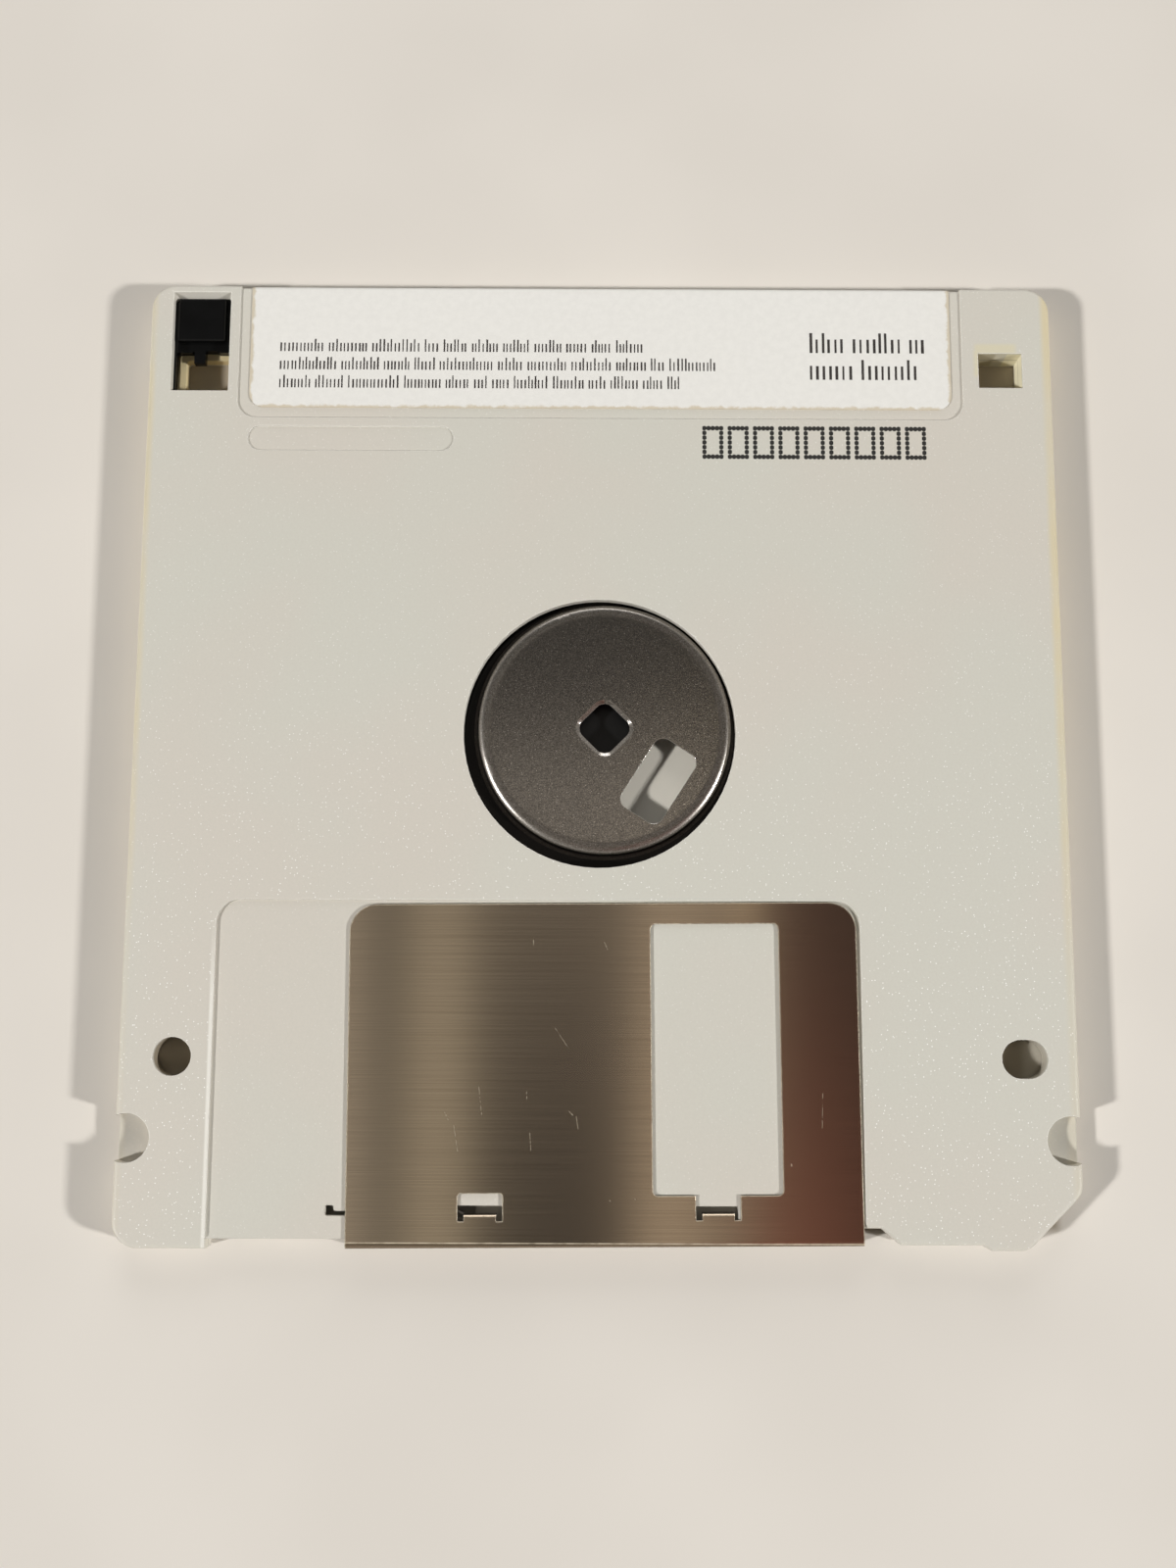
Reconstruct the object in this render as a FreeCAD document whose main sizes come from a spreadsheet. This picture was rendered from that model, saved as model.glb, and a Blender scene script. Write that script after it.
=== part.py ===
import FreeCAD, Part
import math
import os

import Sketcher

# A 3.5 inch floppy disk lying with its hub side up. Lengths are in millimetres.
# The origin is under the middle of the case, +Z points up out of the hub side,
# and +Y points away from the shutter, towards the labelled back edge.

doc = FreeCAD.newDocument("floppy_disk")
sheet = doc.addObject("Spreadsheet::Sheet", "Sizes")


class Length:
    """A number kept together with the sheet formula that gives it."""

    def __init__(self, value, formula):
        self.value = float(value)
        self.formula = formula

    def __add__(self, other):
        other = as_length(other)
        return Length(self.value + other.value, f"({self.formula} + {other.formula})")

    def __radd__(self, other):
        return as_length(other) + self

    def __sub__(self, other):
        other = as_length(other)
        return Length(self.value - other.value, f"({self.formula} - {other.formula})")

    def __rsub__(self, other):
        return as_length(other) - self

    def __mul__(self, other):
        other = as_length(other)
        return Length(self.value * other.value, f"({self.formula} * {other.formula})")

    def __rmul__(self, other):
        return as_length(other) * self

    def __truediv__(self, other):
        other = as_length(other)
        return Length(self.value / other.value, f"({self.formula} / {other.formula})")

    def __neg__(self):
        return Length(-self.value, f"(-1 * {self.formula})")


def as_length(number):
    if isinstance(number, Length):
        return number
    return Length(number, repr(float(number)))


def size(alias, number):
    """Write one driving dimension into the sheet and return it."""
    row = size.next_row
    size.next_row += 1
    sheet.set(f"A{row}", alias)
    sheet.set(f"B{row}", str(number))
    sheet.setAlias(f"B{row}", alias)
    return Length(number, f"Sizes.{alias}")


size.next_row = 1

# Case
case_width = size("case_width", 90.0)
case_length = size("case_length", 94.0)
case_thickness = size("case_thickness", 3.3)
corner_radius = size("corner_radius", 2.4)
keyed_corner = size("keyed_corner", 5.2)
keyed_corner_round = size("keyed_corner_round", 1.8)
edge_radius = size("edge_radius", 0.4)
shell_wall = size("shell_wall", 1.0)
rib = size("rib", 0.8)

# Lines that everything is placed from
locating_setback = size("locating_setback", 17.5)
locating_inset = size("locating_inset", 5.0)
hub_from_middle = size("hub_from_middle", 1.5)

# Holes for the drive
locating_radius = size("locating_radius", 1.8)
locating_length = size("locating_length", 4.35)
boss_wall = size("boss_wall", 1.0)
boss_foot_gap = size("boss_foot_gap", 0.12)
hub_hole_radius = size("hub_hole_radius", 13.15)
head_window_width = size("head_window_width", 9.0)
head_window_inner = size("head_window_inner", 12.3)
head_window_outer = size("head_window_outer", 11.5)
window_round = size("window_round", 0.5)
notch_radius = size("notch_radius", 2.27)
notch_depth = size("notch_depth", 3.2)
notch_setback = size("notch_setback", 10.0)

# Front edge, measured in from the case's left side or right side
shutter_bay_inset = size("shutter_bay_inset", 8.7)
lever_bay_slope_start = size("lever_bay_slope_start", 29.5)
lever_bay_start = size("lever_bay_start", 28.0)
shutter_bay_end = size("shutter_bay_end", 20.25)
lever_bay_end = size("lever_bay_end", 18.8)
lever_bay_slope_end = size("lever_bay_slope_end", 17.0)
relief_end = size("relief_end", 9.4)
relief_step = size("relief_step", 0.8)
seat_setback = size("seat_setback", 0.9)
relief_setback = size("relief_setback", 0.5)
lever_bay_setback = size("lever_bay_setback", 2.0)

# Shutter
sheet_thickness = size("sheet_thickness", 0.2)
shutter_clearance = size("shutter_clearance", 0.03)
shutter_travel = size("shutter_travel", 10.6)
shutter_stop_gap = size("shutter_stop_gap", 2.06)
shutter_reach = size("shutter_reach", 31.78)
shutter_top_setback = size("shutter_top_setback", 31.98)
shutter_tilt = size("shutter_tilt", 0.45)
shutter_side_gap = size("shutter_side_gap", 0.14)
shutter_corner = size("shutter_corner", 2.6)
shutter_fold = size("shutter_fold", 0.45)
bay_gap = size("bay_gap", 0.08)
bay_corner = size("bay_corner", 2.3)
bay_mouth_round = size("bay_mouth_round", 0.5)
opening_width = size("opening_width", 12.1)
opening_length = size("opening_length", 25.15)
opening_margin = size("opening_margin", 1.99)
opening_right = size("opening_right", 7.42)
lug_width = size("lug_width", 3.0)
lug_relief = size("lug_relief", 0.58)
lug_drop = size("lug_drop", 1.15)
lug_bend = size("lug_bend", 0.12)
lug_land = size("lug_land", 0.05)
lug_line = size("lug_line", 28.9)
lug_relief_depth = size("lug_relief_depth", 0.45)
lance_length = size("lance_length", 2.05)
lance_corner = size("lance_corner", 0.2)
left_lug_from_middle = size("left_lug_from_middle", 11.55)

# Slot in the case that the shutter's lugs run in
slot_high_gap = size("slot_high_gap", 0.87)
slot_low_gap = size("slot_low_gap", 0.65)
slot_end_gap = size("slot_end_gap", 0.35)
slot_neck_length = size("slot_neck_length", 1.12)
slot_neck_width = size("slot_neck_width", 0.42)
slot_pocket_length = size("slot_pocket_length", 0.79)
slot_pocket_width = size("slot_pocket_width", 0.94)
slot_round = size("slot_round", 0.2)

# Write protect slide and the density hole
slide_window_width = size("slide_window_width", 5.72)
slide_window_length = size("slide_window_length", 10.38)
slide_window_top = size("slide_window_top", 0.75)
slide_window_side = size("slide_window_side", 2.2)
slide_ramp = size("slide_ramp", 0.4)
slide_mitre = size("slide_mitre", 0.4)
slide_mitre_tip = size("slide_mitre_tip", 0.02)
slide_channel_side = size("slide_channel_side", 0.4)
slide_channel_length = size("slide_channel_length", 16.0)
slide_channel_top = size("slide_channel_top", 1.0)
slide_gap = size("slide_gap", 0.1)
slide_plate = size("slide_plate", 0.8)
slide_plate_length = size("slide_plate_length", 5.62)
slide_block_left = size("slide_block_left", 0.7)
slide_block_right = size("slide_block_right", 0.9)
slide_block_length = size("slide_block_length", 4.45)
slide_block_height = size("slide_block_height", 0.62)
slide_block_edge = size("slide_block_edge", 0.18)
slide_tongue_width = size("slide_tongue_width", 1.12)
slide_tongue_length = size("slide_tongue_length", 1.1)
slide_tongue_shift = size("slide_tongue_shift", 0.31)
slide_left_foot = size("slide_left_foot", 2.05)
slide_right_foot = size("slide_right_foot", 1.6)
slide_foot_drop = size("slide_foot_drop", 0.16)
slide_leg_width = size("slide_leg_width", 0.5)
slide_leg_length = size("slide_leg_length", 5.2)
sense_hole_width = size("sense_hole_width", 4.45)
sense_hole_length = size("sense_hole_length", 4.2)
sense_hole_back = size("sense_hole_back", 7.2)
sense_hole_side = size("sense_hole_side", 3.25)
sense_hole_round = size("sense_hole_round", 0.4)
sense_collar = size("sense_collar", 0.67)
sense_collar_back = size("sense_collar_back", 1.1)
sense_collar_height = size("sense_collar_height", 0.3)
density_hole_width = size("density_hole_width", 4.37)
density_hole_length = size("density_hole_length", 3.6)
density_hole_back = size("density_hole_back", 6.88)
density_hole_side = size("density_hole_side", 2.9)

# Recesses in the outside faces
label_recess_side = size("label_recess_side", 8.9)
label_recess_back = size("label_recess_back", 13.85)
label_bay_gap = size("label_bay_gap", 6.57)
label_recess_depth = size("label_recess_depth", 0.15)
label_recess_corner = size("label_recess_corner", 1.8)
name_recess_length = size("name_recess_length", 20.4)
name_recess_width = size("name_recess_width", 2.5)
name_recess_depth = size("name_recess_depth", 0.12)
name_recess_side = size("name_recess_side", 10.05)
name_recess_back = size("name_recess_back", 16.0)
arrow_length = size("arrow_length", 5.0)
arrow_width = size("arrow_width", 4.0)
arrow_stem = size("arrow_stem", 1.4)
arrow_head = size("arrow_head", 2.6)
arrow_depth = size("arrow_depth", 0.12)
arrow_setback = size("arrow_setback", 3.4)
arrow_side = size("arrow_side", 4.4)

# Room for the disk, the spring and the corners
side_wall = size("side_wall", 1.2)
back_wall = size("back_wall", 1.7)
room_side = size("room_side", 4.2)
room_front = size("room_front", 2.8)
room_arc_end = size("room_arc_end", 50.7)
spring_room_arc = size("spring_room_arc", 75.1)
spare_room_arc = size("spare_room_arc", 66.9)
spare_room_front = size("spare_room_front", 3.2)
spare_room_key = size("spare_room_key", 2.6)
corner_room_arc_start = size("corner_room_arc_start", 37.9)
corner_room_arc_end = size("corner_room_arc_end", 55.9)
corner_room_back = size("corner_room_back", 1.8)
peg_radius = size("peg_radius", 0.75)
peg_gap = size("peg_gap", 0.05)
peg_height = size("peg_height", 0.4)
peg_post = size("peg_post", 1.5)
peg_room_inset = size("peg_room_inset", 2.2)

# Disk, hub and what lines the case
film_gap = size("film_gap", 0.9)
film_thickness = size("film_thickness", 0.08)
film_hole_gap = size("film_hole_gap", 0.35)
disk_shift_x = size("disk_shift_x", 0.48)
disk_shift_y = size("disk_shift_y", 0.45)
disk_floor_gap = size("disk_floor_gap", 0.25)
hub_gap = size("hub_gap", 0.8)
hub_flange = size("hub_flange", 3.15)
hub_sheet = size("hub_sheet", 0.25)
hub_face_height = size("hub_face_height", 1.36)
hub_shoulder = size("hub_shoulder", 0.75)
hub_inner_shoulder = size("hub_inner_shoulder", 0.5)
spindle_square = size("spindle_square", 4.0)
spindle_square_round = size("spindle_square_round", 1.0)
square_lip_width = size("square_lip_width", 0.34)
square_lip_depth = size("square_lip_depth", 0.18)
drive_slot_length = size("drive_slot_length", 7.8)
drive_slot_width = size("drive_slot_width", 4.6)
drive_slot_round = size("drive_slot_round", 1.0)
drive_slot_distance = size("drive_slot_distance", 7.3)
drive_slot_bearing = size("drive_slot_bearing", -44.7)
drive_slot_skew = size("drive_slot_skew", 102.1)
bond_thickness = size("bond_thickness", 0.04)
bond_margin = size("bond_margin", 0.1)
liner_thickness = size("liner_thickness", 0.25)
liner_inner_gap = size("liner_inner_gap", 2.0)
liner_outer_gap = size("liner_outer_gap", 1.4)
liner_slot_width = size("liner_slot_width", 11.0)
pad_radius = size("pad_radius", 4.5)
pad_thickness = size("pad_thickness", 0.12)
pad_recess = size("pad_recess", 0.08)
pad_gap = size("pad_gap", 0.1)
lifter_width = size("lifter_width", 12.0)
lifter_length = size("lifter_length", 17.0)
lifter_thickness = size("lifter_thickness", 0.12)
lifter_recess = size("lifter_recess", 0.15)
lifter_gap = size("lifter_gap", 0.3)
lifter_side = size("lifter_side", 2.4)
lifter_corner = size("lifter_corner", 1.5)

# Spring
wire_radius = size("wire_radius", 0.2)
knee_radius = size("knee_radius", 0.3)
coil_radius = size("coil_radius", 1.9)
coil_rise = size("coil_rise", 0.5)
coil_along = size("coil_along", 12.0)
coil_setback = size("coil_setback", 9.6)
spring_floor_gap = size("spring_floor_gap", 0.12)
spring_end_gap = size("spring_end_gap", 0.15)
fixed_end_setback = size("fixed_end_setback", 4.1)

# Label
label_side_gap = size("label_side_gap", 1.15)
label_thickness = size("label_thickness", 0.1)
label_back_gap = size("label_back_gap", 1.05)
label_front_gap = size("label_front_gap", 1.2)
label_corner = size("label_corner", 1.5)
label_gap = size("label_gap", 0.01)

# Places worked out from the driving dimensions
half_width = case_width / 2
half_length = case_length / 2
parting = case_thickness / 2
floor_top = shell_wall
roof_under = case_thickness - shell_wall
locating_y = -half_length + locating_setback
locating_x = half_width - locating_inset
primary_x = -locating_x
hub_y = hub_from_middle
bay_left = -half_width + shutter_bay_inset
bay_right = half_width - shutter_bay_end
lever_y = -half_length + lever_bay_setback
seat_y = -half_length + seat_setback
tilt_sine = Length(
    math.sin(math.radians(shutter_tilt.value)), f"sin({shutter_tilt.formula} * 1 deg)")
tilt_shift = shutter_reach * tilt_sine
shutter_room = bay_right - bay_left - shutter_side_gap - tilt_shift
shutter_width = shutter_room - shutter_travel - shutter_stop_gap
shutter_x = bay_right - shutter_side_gap - shutter_width / 2 - tilt_shift
shutter_top_y = -half_length + shutter_top_setback
bay_back_y = shutter_top_y + shutter_width / 2 * tilt_sine + bay_gap
bay_depth = sheet_thickness + shutter_clearance * 2
disk_x = disk_shift_x
disk_y = hub_y + disk_shift_y
side_reach = half_width - side_wall
back_reach = half_length - back_wall - hub_y
cavity_radius = Length(
    min(side_reach.value, back_reach.value), f"min({side_reach.formula}; {back_reach.formula})")
film_radius = cavity_radius - film_gap
hub_radius = hub_hole_radius - hub_gap
hub_flange_radius = hub_radius + hub_flange
film_hole_radius = hub_radius + film_hole_gap
liner_inner_radius = hub_flange_radius + liner_inner_gap
liner_outer_radius = cavity_radius - liner_outer_gap
flange_under = floor_top + disk_floor_gap
flange_top = flange_under + hub_sheet
film_under = flange_top + bond_thickness
film_top = film_under + film_thickness
hub_face = film_top + hub_face_height
rib_radius = cavity_radius + rib


# Sketch helpers

def bind(target, path, length):
    target.setExpression(path, as_length(length).formula)


def new_body(label):
    body = doc.addObject("PartDesign::Body", label)
    body.Label = label
    return body


def new_sketch(body, name, plane="XY_Plane", offset=0.0):
    """Attach a sketch to one of the body's own origin planes, moved along its normal."""
    sketch = body.newObject("Sketcher::SketchObject", name)
    origin_plane = [item for item in body.Origin.OriginFeatures if item.Role == plane][0]
    sketch.AttachmentSupport = [(origin_plane, "")]
    sketch.MapMode = "FlatFace"
    bind(sketch, "AttachmentOffset.Base.z", offset)
    return sketch


def datum(sketch, kind, *items):
    """Add one dimension to a sketch, driven by the sheet."""
    length = as_length(items[-1])
    index = sketch.addConstraint(Sketcher.Constraint(kind, *items[:-1], length.value))
    bind(sketch, f"Constraints[{index}]", length)


def place_point(sketch, geometry, point, x, y):
    datum(sketch, "DistanceX", -1, 1, geometry, point, x)
    datum(sketch, "DistanceY", -1, 1, geometry, point, y)


def draw_circle(sketch, x, y, radius):
    x, y, radius = as_length(x), as_length(y), as_length(radius)
    centre = FreeCAD.Vector(x.value, y.value, 0)
    circle = sketch.addGeometry(Part.Circle(centre, FreeCAD.Vector(0, 0, 1), radius.value))
    place_point(sketch, circle, 3, x, y)
    datum(sketch, "Radius", circle, radius)


def draw_profile(sketch, corners):
    """Draw a closed outline. Each corner is (x, y), or (x, y, radius) where it is rounded."""
    marks = []
    for corner in corners:
        x, y = as_length(corner[0]), as_length(corner[1])
        radius = as_length(corner[2]) if len(corner) > 2 else None
        marks.append((FreeCAD.Vector(x.value, y.value, 0), x, y, radius))
    count = len(marks)
    trims = []
    for index, (point, x, y, radius) in enumerate(marks):
        before = (marks[index - 1][0] - point).normalize()
        after = (marks[(index + 1) % count][0] - point).normalize()
        if radius is None:
            trims.append((point, point, None))
            continue
        half_angle = before.getAngle(after) / 2
        run = radius.value / math.tan(half_angle)
        bisector = (before + after).normalize()
        centre = point + bisector * (radius.value / math.sin(half_angle))
        middle = centre - bisector * radius.value
        trims.append((point + before * run, point + after * run, middle))
    lines = []
    for index in range(count):
        start = trims[index][1]
        end = trims[(index + 1) % count][0]
        lines.append(sketch.addGeometry(Part.LineSegment(start, end)))
    for index, (point, x, y, radius) in enumerate(marks):
        line_in, line_out = lines[index - 1], lines[index]
        if radius is None:
            sketch.addConstraint(Sketcher.Constraint("Coincident", line_in, 2, line_out, 1))
            place_point(sketch, line_out, 1, x, y)
            continue
        enter, leave, middle = trims[index]
        arc = sketch.addGeometry(Part.Arc(enter, middle, leave))
        spot = sketch.addGeometry(Part.Point(point), True)
        place_point(sketch, spot, 1, x, y)
        sketch.addConstraint(Sketcher.Constraint("PointOnObject", spot, 1, line_in))
        sketch.addConstraint(Sketcher.Constraint("PointOnObject", spot, 1, line_out))
        ends = (1, 2) if sketch.getPoint(arc, 1).isEqual(enter, 1e-6) else (2, 1)
        sketch.addConstraint(Sketcher.Constraint("Tangent", line_in, 2, arc, ends[0]))
        sketch.addConstraint(Sketcher.Constraint("Tangent", arc, ends[1], line_out, 1))
        datum(sketch, "Radius", arc, radius)


def draw_obround(sketch, x, y, half, radius):
    """A slot along X with round ends, half as long as its length from its middle."""
    x, y, half, radius = as_length(x), as_length(y), as_length(half), as_length(radius)
    run = half.value - radius.value
    lines = []
    for side in (1, -1):
        start = FreeCAD.Vector(x.value - run * side, y.value - radius.value * side, 0)
        end = FreeCAD.Vector(x.value + run * side, y.value - radius.value * side, 0)
        line = sketch.addGeometry(Part.LineSegment(start, end))
        place_point(sketch, line, 1, x - (half - radius) * side, y - radius * side)
        place_point(sketch, line, 2, x + (half - radius) * side, y - radius * side)
        lines.append(line)
    for side, (before, after) in zip((1, -1), (lines, lines[::-1])):
        enter = sketch.getPoint(before, 2)
        middle = FreeCAD.Vector(x.value + half.value * side, y.value, 0)
        arc = sketch.addGeometry(Part.Arc(enter, middle, sketch.getPoint(after, 1)))
        ends = (1, 2) if sketch.getPoint(arc, 1).isEqual(enter, 1e-6) else (2, 1)
        sketch.addConstraint(Sketcher.Constraint("Coincident", before, 2, arc, ends[0]))
        sketch.addConstraint(Sketcher.Constraint("Coincident", arc, ends[1], after, 1))
        datum(sketch, "DistanceX", -1, 1, arc, 3, x + (half - radius) * side)


def draw_rectangle(sketch, left, right, low, high, radius=None):
    corners = [(left, low), (right, low), (right, high), (left, high)]
    if radius is not None:
        corners = [(x, y, radius) for x, y in corners]
    draw_profile(sketch, corners)


# Feature helpers: each one compares the volume, so that none does nothing unseen

def finish(body, feature, before, grows):
    body.Tip = feature
    doc.recompute()
    if not feature.isValid():
        raise RuntimeError(f"{body.Label}: {feature.Name} did not build")
    change = feature.Shape.Volume - before
    if (change > 0) != grows or abs(change) < 1e-6:
        raise RuntimeError(f"{body.Label}: {feature.Name} changed the volume by {change:.6f}")
    return feature


def volume_of(body):
    return body.Shape.Volume if not body.Shape.isNull() else 0.0


def pad(body, name, sketch, length, both_ways=False):
    before = volume_of(body)
    feature = body.newObject("PartDesign::Pad", name)
    feature.Profile = sketch
    sketch.Visibility = False
    feature.Midplane = both_ways
    bind(feature, "Length", length)
    return finish(body, feature, before, True)


def pocket(body, name, sketch, length, both_ways=False, reverse=False):
    before = volume_of(body)
    feature = body.newObject("PartDesign::Pocket", name)
    feature.Profile = sketch
    feature.Midplane = both_ways
    feature.Reversed = reverse
    bind(feature, "Length", length)
    return finish(body, feature, before, False)


def add_between(body, name, low, high, draw):
    """Add what draw(sketch) outlines, from height low up to height high."""
    sketch = new_sketch(body, name + "_outline", "XY_Plane", low)
    draw(sketch)
    return pad(body, name, sketch, as_length(high) - low)


def cut_between(body, name, low, high, draw):
    """Cut what draw(sketch) outlines, from height high down to height low."""
    sketch = new_sketch(body, name + "_outline", "XY_Plane", high)
    draw(sketch)
    return pocket(body, name, sketch, as_length(high) - low)


def add_across(body, name, width, draw):
    """Add what draw(sketch) outlines in the YZ plane, to both sides of it."""
    sketch = new_sketch(body, name + "_outline", "YZ_Plane")
    draw(sketch)
    return pad(body, name, sketch, width, both_ways=True)


def cut_across(body, name, width, draw):
    sketch = new_sketch(body, name + "_outline", "YZ_Plane")
    draw(sketch)
    return pocket(body, name, sketch, width, both_ways=True)


def round_edges(body, name, radius, wanted):
    """Round every edge of the body's solid that wanted(edge) picks."""
    base = body.Tip
    picked = [f"Edge{n}" for n, edge in enumerate(base.Shape.Edges, 1) if wanted(edge)]
    feature = body.newObject("PartDesign::Fillet", name)
    feature.Base = (base, picked)
    bind(feature, "Radius", radius)
    return finish(body, feature, base.Shape.Volume, False)


def bevel_edges(body, name, width, depth, wanted):
    """Bevel the edges that wanted(edge) picks: width across the face, depth down the wall."""
    base = body.Tip
    picked = [f"Edge{n}" for n, edge in enumerate(base.Shape.Edges, 1) if wanted(edge)]
    feature = body.newObject("PartDesign::Chamfer", name)
    feature.Base = (base, picked)
    feature.ChamferType = "Two distances"
    bind(feature, "Size", depth)
    bind(feature, "Size2", width)
    return finish(body, feature, base.Shape.Volume, False)


# Outlines that both shells share

def draw_case(sketch):
    """The case from above, with its keyed corner and its stepped front edge."""
    front = -half_length
    relief_x = half_width - relief_end
    draw_profile(sketch, [
        (-half_width, half_length, corner_radius),
        (-half_width, front, corner_radius),
        (bay_left, front),
        (bay_left, seat_y),
        (half_width - lever_bay_slope_start, seat_y),
        (half_width - lever_bay_start, lever_y),
        (half_width - lever_bay_end, lever_y),
        (half_width - lever_bay_slope_end, front + relief_setback),
        (relief_x, front + relief_setback),
        (relief_x + relief_step, front),
        (half_width - keyed_corner, front, keyed_corner_round),
        (half_width, front + keyed_corner, keyed_corner_round),
        (half_width, half_length, corner_radius),
    ])


def draw_disk_cavity(sketch):
    draw_circle(sketch, 0, hub_y, cavity_radius)


def on_rib(angle, side, end):
    """A point of the ribs' circle, from its angle to the X axis. side and end are 1 or -1."""
    turn = math.radians(angle.value)
    across = Length(math.cos(turn), f"cos({angle.formula} * 1 deg)")
    along = Length(math.sin(turn), f"sin({angle.formula} * 1 deg)")
    return rib_radius * across * side, hub_y + rib_radius * along * end


def draw_room(sketch, straight, arc_start, arc_end):
    """A room outside the disk's round wall: straight sides and one arc of that wall."""
    corners = [arc_end] + straight + [arc_start]
    lines = []
    for start, end in zip(corners[:-1], corners[1:]):
        first = FreeCAD.Vector(start[0].value, start[1].value, 0)
        second = FreeCAD.Vector(end[0].value, end[1].value, 0)
        lines.append(sketch.addGeometry(Part.LineSegment(first, second)))
    for index, line in enumerate(lines):
        place_point(sketch, line, 1, corners[index][0], corners[index][1])
    place_point(sketch, lines[-1], 2, arc_start[0], arc_start[1])
    for before, after in zip(lines[:-1], lines[1:]):
        sketch.addConstraint(Sketcher.Constraint("Coincident", before, 2, after, 1))
    ends = [FreeCAD.Vector(point[0].value, point[1].value, 0) for point in (arc_start, arc_end)]
    centre = FreeCAD.Vector(0, hub_y.value, 0)
    outward = ((ends[0] + ends[1]) * 0.5 - centre).normalize()
    arc = sketch.addGeometry(Part.Arc(ends[0], centre + outward * rib_radius.value, ends[1]))
    order = (1, 2) if sketch.getPoint(arc, 1).isEqual(ends[0], 1e-6) else (2, 1)
    sketch.addConstraint(Sketcher.Constraint("Coincident", lines[-1], 2, arc, order[0]))
    sketch.addConstraint(Sketcher.Constraint("Coincident", lines[0], 1, arc, order[1]))
    datum(sketch, "Radius", arc, rib_radius)


room_back_y = on_rib(room_arc_end, 1, -1)[1]


def draw_spring_room(sketch):
    front = -half_length + room_front
    outer = -half_width + room_side
    arc_start = on_rib(room_arc_end, -1, -1)
    arc_end = on_rib(spring_room_arc, -1, -1)
    draw_room(
        sketch, [(arc_end[0], front), (outer, front), (outer, room_back_y)], arc_start, arc_end)


def draw_spare_room(sketch):
    front = -half_length + spare_room_front
    outer = half_width - room_side
    arc_start = on_rib(room_arc_end, 1, -1)
    arc_end = on_rib(spare_room_arc, 1, -1)
    draw_room(
        sketch,
        [
            (arc_end[0], front),
            (outer - spare_room_key, front),
            (outer, front + spare_room_key),
            (outer, room_back_y),
        ],
        arc_start, arc_end,
    )


def draw_corner_room(side):
    """A room in one back corner, between the round wall and the back edge."""
    def draw(sketch):
        back = half_length - corner_room_back
        arc_start = on_rib(corner_room_arc_start, side, 1)
        arc_end = on_rib(corner_room_arc_end, side, 1)
        draw_room(sketch, [(arc_end[0], back), (arc_start[0], back)], arc_start, arc_end)
    return draw


channel_left = -half_width + slide_window_side - slide_channel_side
channel_right = channel_left + slide_window_width + slide_channel_side * 2
channel_back = half_length - slide_channel_top
channel_front = channel_back - slide_channel_length


def draw_slide_channel(sketch):
    draw_rectangle(sketch, channel_left, channel_right, channel_front, channel_back)


room_cuts = [
    ("disk_cavity", draw_disk_cavity),
    ("spring_room", draw_spring_room),
    ("spare_room", draw_spare_room),
    ("left_corner_room", draw_corner_room(-1)),
    ("right_corner_room", draw_corner_room(1)),
    ("slide_channel", draw_slide_channel),
]

corner_peg_x = on_rib(corner_room_arc_start, 1, 1)[0] - peg_room_inset
corner_peg_y = half_length - corner_room_back - peg_room_inset
peg_places = [
    ("peg_front_right", half_width - room_side - peg_room_inset, room_back_y - peg_room_inset),
    ("peg_front_left", -half_width + room_side + peg_room_inset, room_back_y - peg_room_inset),
    ("peg_back_right", corner_peg_x, corner_peg_y),
    ("peg_back_left", -corner_peg_x, corner_peg_y),
]

window_low = locating_y - head_window_outer
window_high = locating_y + head_window_inner


def draw_head_window(sketch):
    half = head_window_width / 2
    draw_rectangle(sketch, -half, half, window_low, window_high, window_round)


def draw_shutter_bay(sketch):
    """The shallow bay that the shutter slides in, open at the front edge."""
    front = -half_length - lever_bay_setback
    draw_profile(sketch, [
        (bay_left, front),
        (half_width - lever_bay_end, front),
        (half_width - lever_bay_end, lever_y),
        (bay_right, lever_y, bay_mouth_round),
        (bay_right, bay_back_y, bay_corner),
        (bay_left, bay_back_y, bay_corner),
    ])


def draw_density_hole(sketch):
    right = half_width - density_hole_side
    high = half_length - density_hole_back
    left = right - density_hole_width
    draw_rectangle(sketch, left, right, high - density_hole_length, high)


label_recess_width = case_width - label_recess_side * 2
label_width = label_recess_width - label_side_gap * 2
hub_side_recess_y = half_length - label_recess_back
label_side_recess_y = bay_back_y + label_bay_gap


def draw_label_recess(low):
    def draw(sketch):
        half = label_recess_width / 2
        high = half_length + label_recess_depth
        draw_profile(sketch, [
            (-half, high),
            (-half, low, label_recess_corner),
            (half, low, label_recess_corner),
            (half, high),
        ])
    return draw


def outer_edge_at(height):
    """Pick the edges of the case's outline at one height."""
    def wanted(edge):
        return all(abs(vertex.Z - height.value) < 1e-6 for vertex in edge.Vertexes)
    return wanted


def cut_label_wrap(body, face, inward):
    """Carry the label's recess round the back edge, which keeps its round corner there."""
    back = half_length - label_recess_depth
    surface = face + inward * label_recess_depth
    beyond = half_length + label_recess_depth
    above = face - inward * label_recess_depth
    turn = back - edge_radius

    def draw(sketch):
        draw_profile(sketch, [
            (back, parting),
            (back, surface, edge_radius),
            (turn - edge_radius, surface),
            (turn - edge_radius, above),
            (beyond, above),
            (beyond, parting),
        ])
    cut_across(body, "label_wrap", label_recess_width, draw)


# Lower shell: the hub side of the case, with the holes that the drive works through

lower_shell = new_body("lower_shell")
add_between(lower_shell, "case_block", parting, case_thickness, draw_case)
round_edges(lower_shell, "outer_edge", edge_radius, outer_edge_at(case_thickness))
for room_name, draw_outline in room_cuts:
    sketch = new_sketch(lower_shell, room_name + "_outline", "XY_Plane", parting)
    draw_outline(sketch)
    pocket(lower_shell, room_name, sketch, roof_under - parting, reverse=True)

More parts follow.
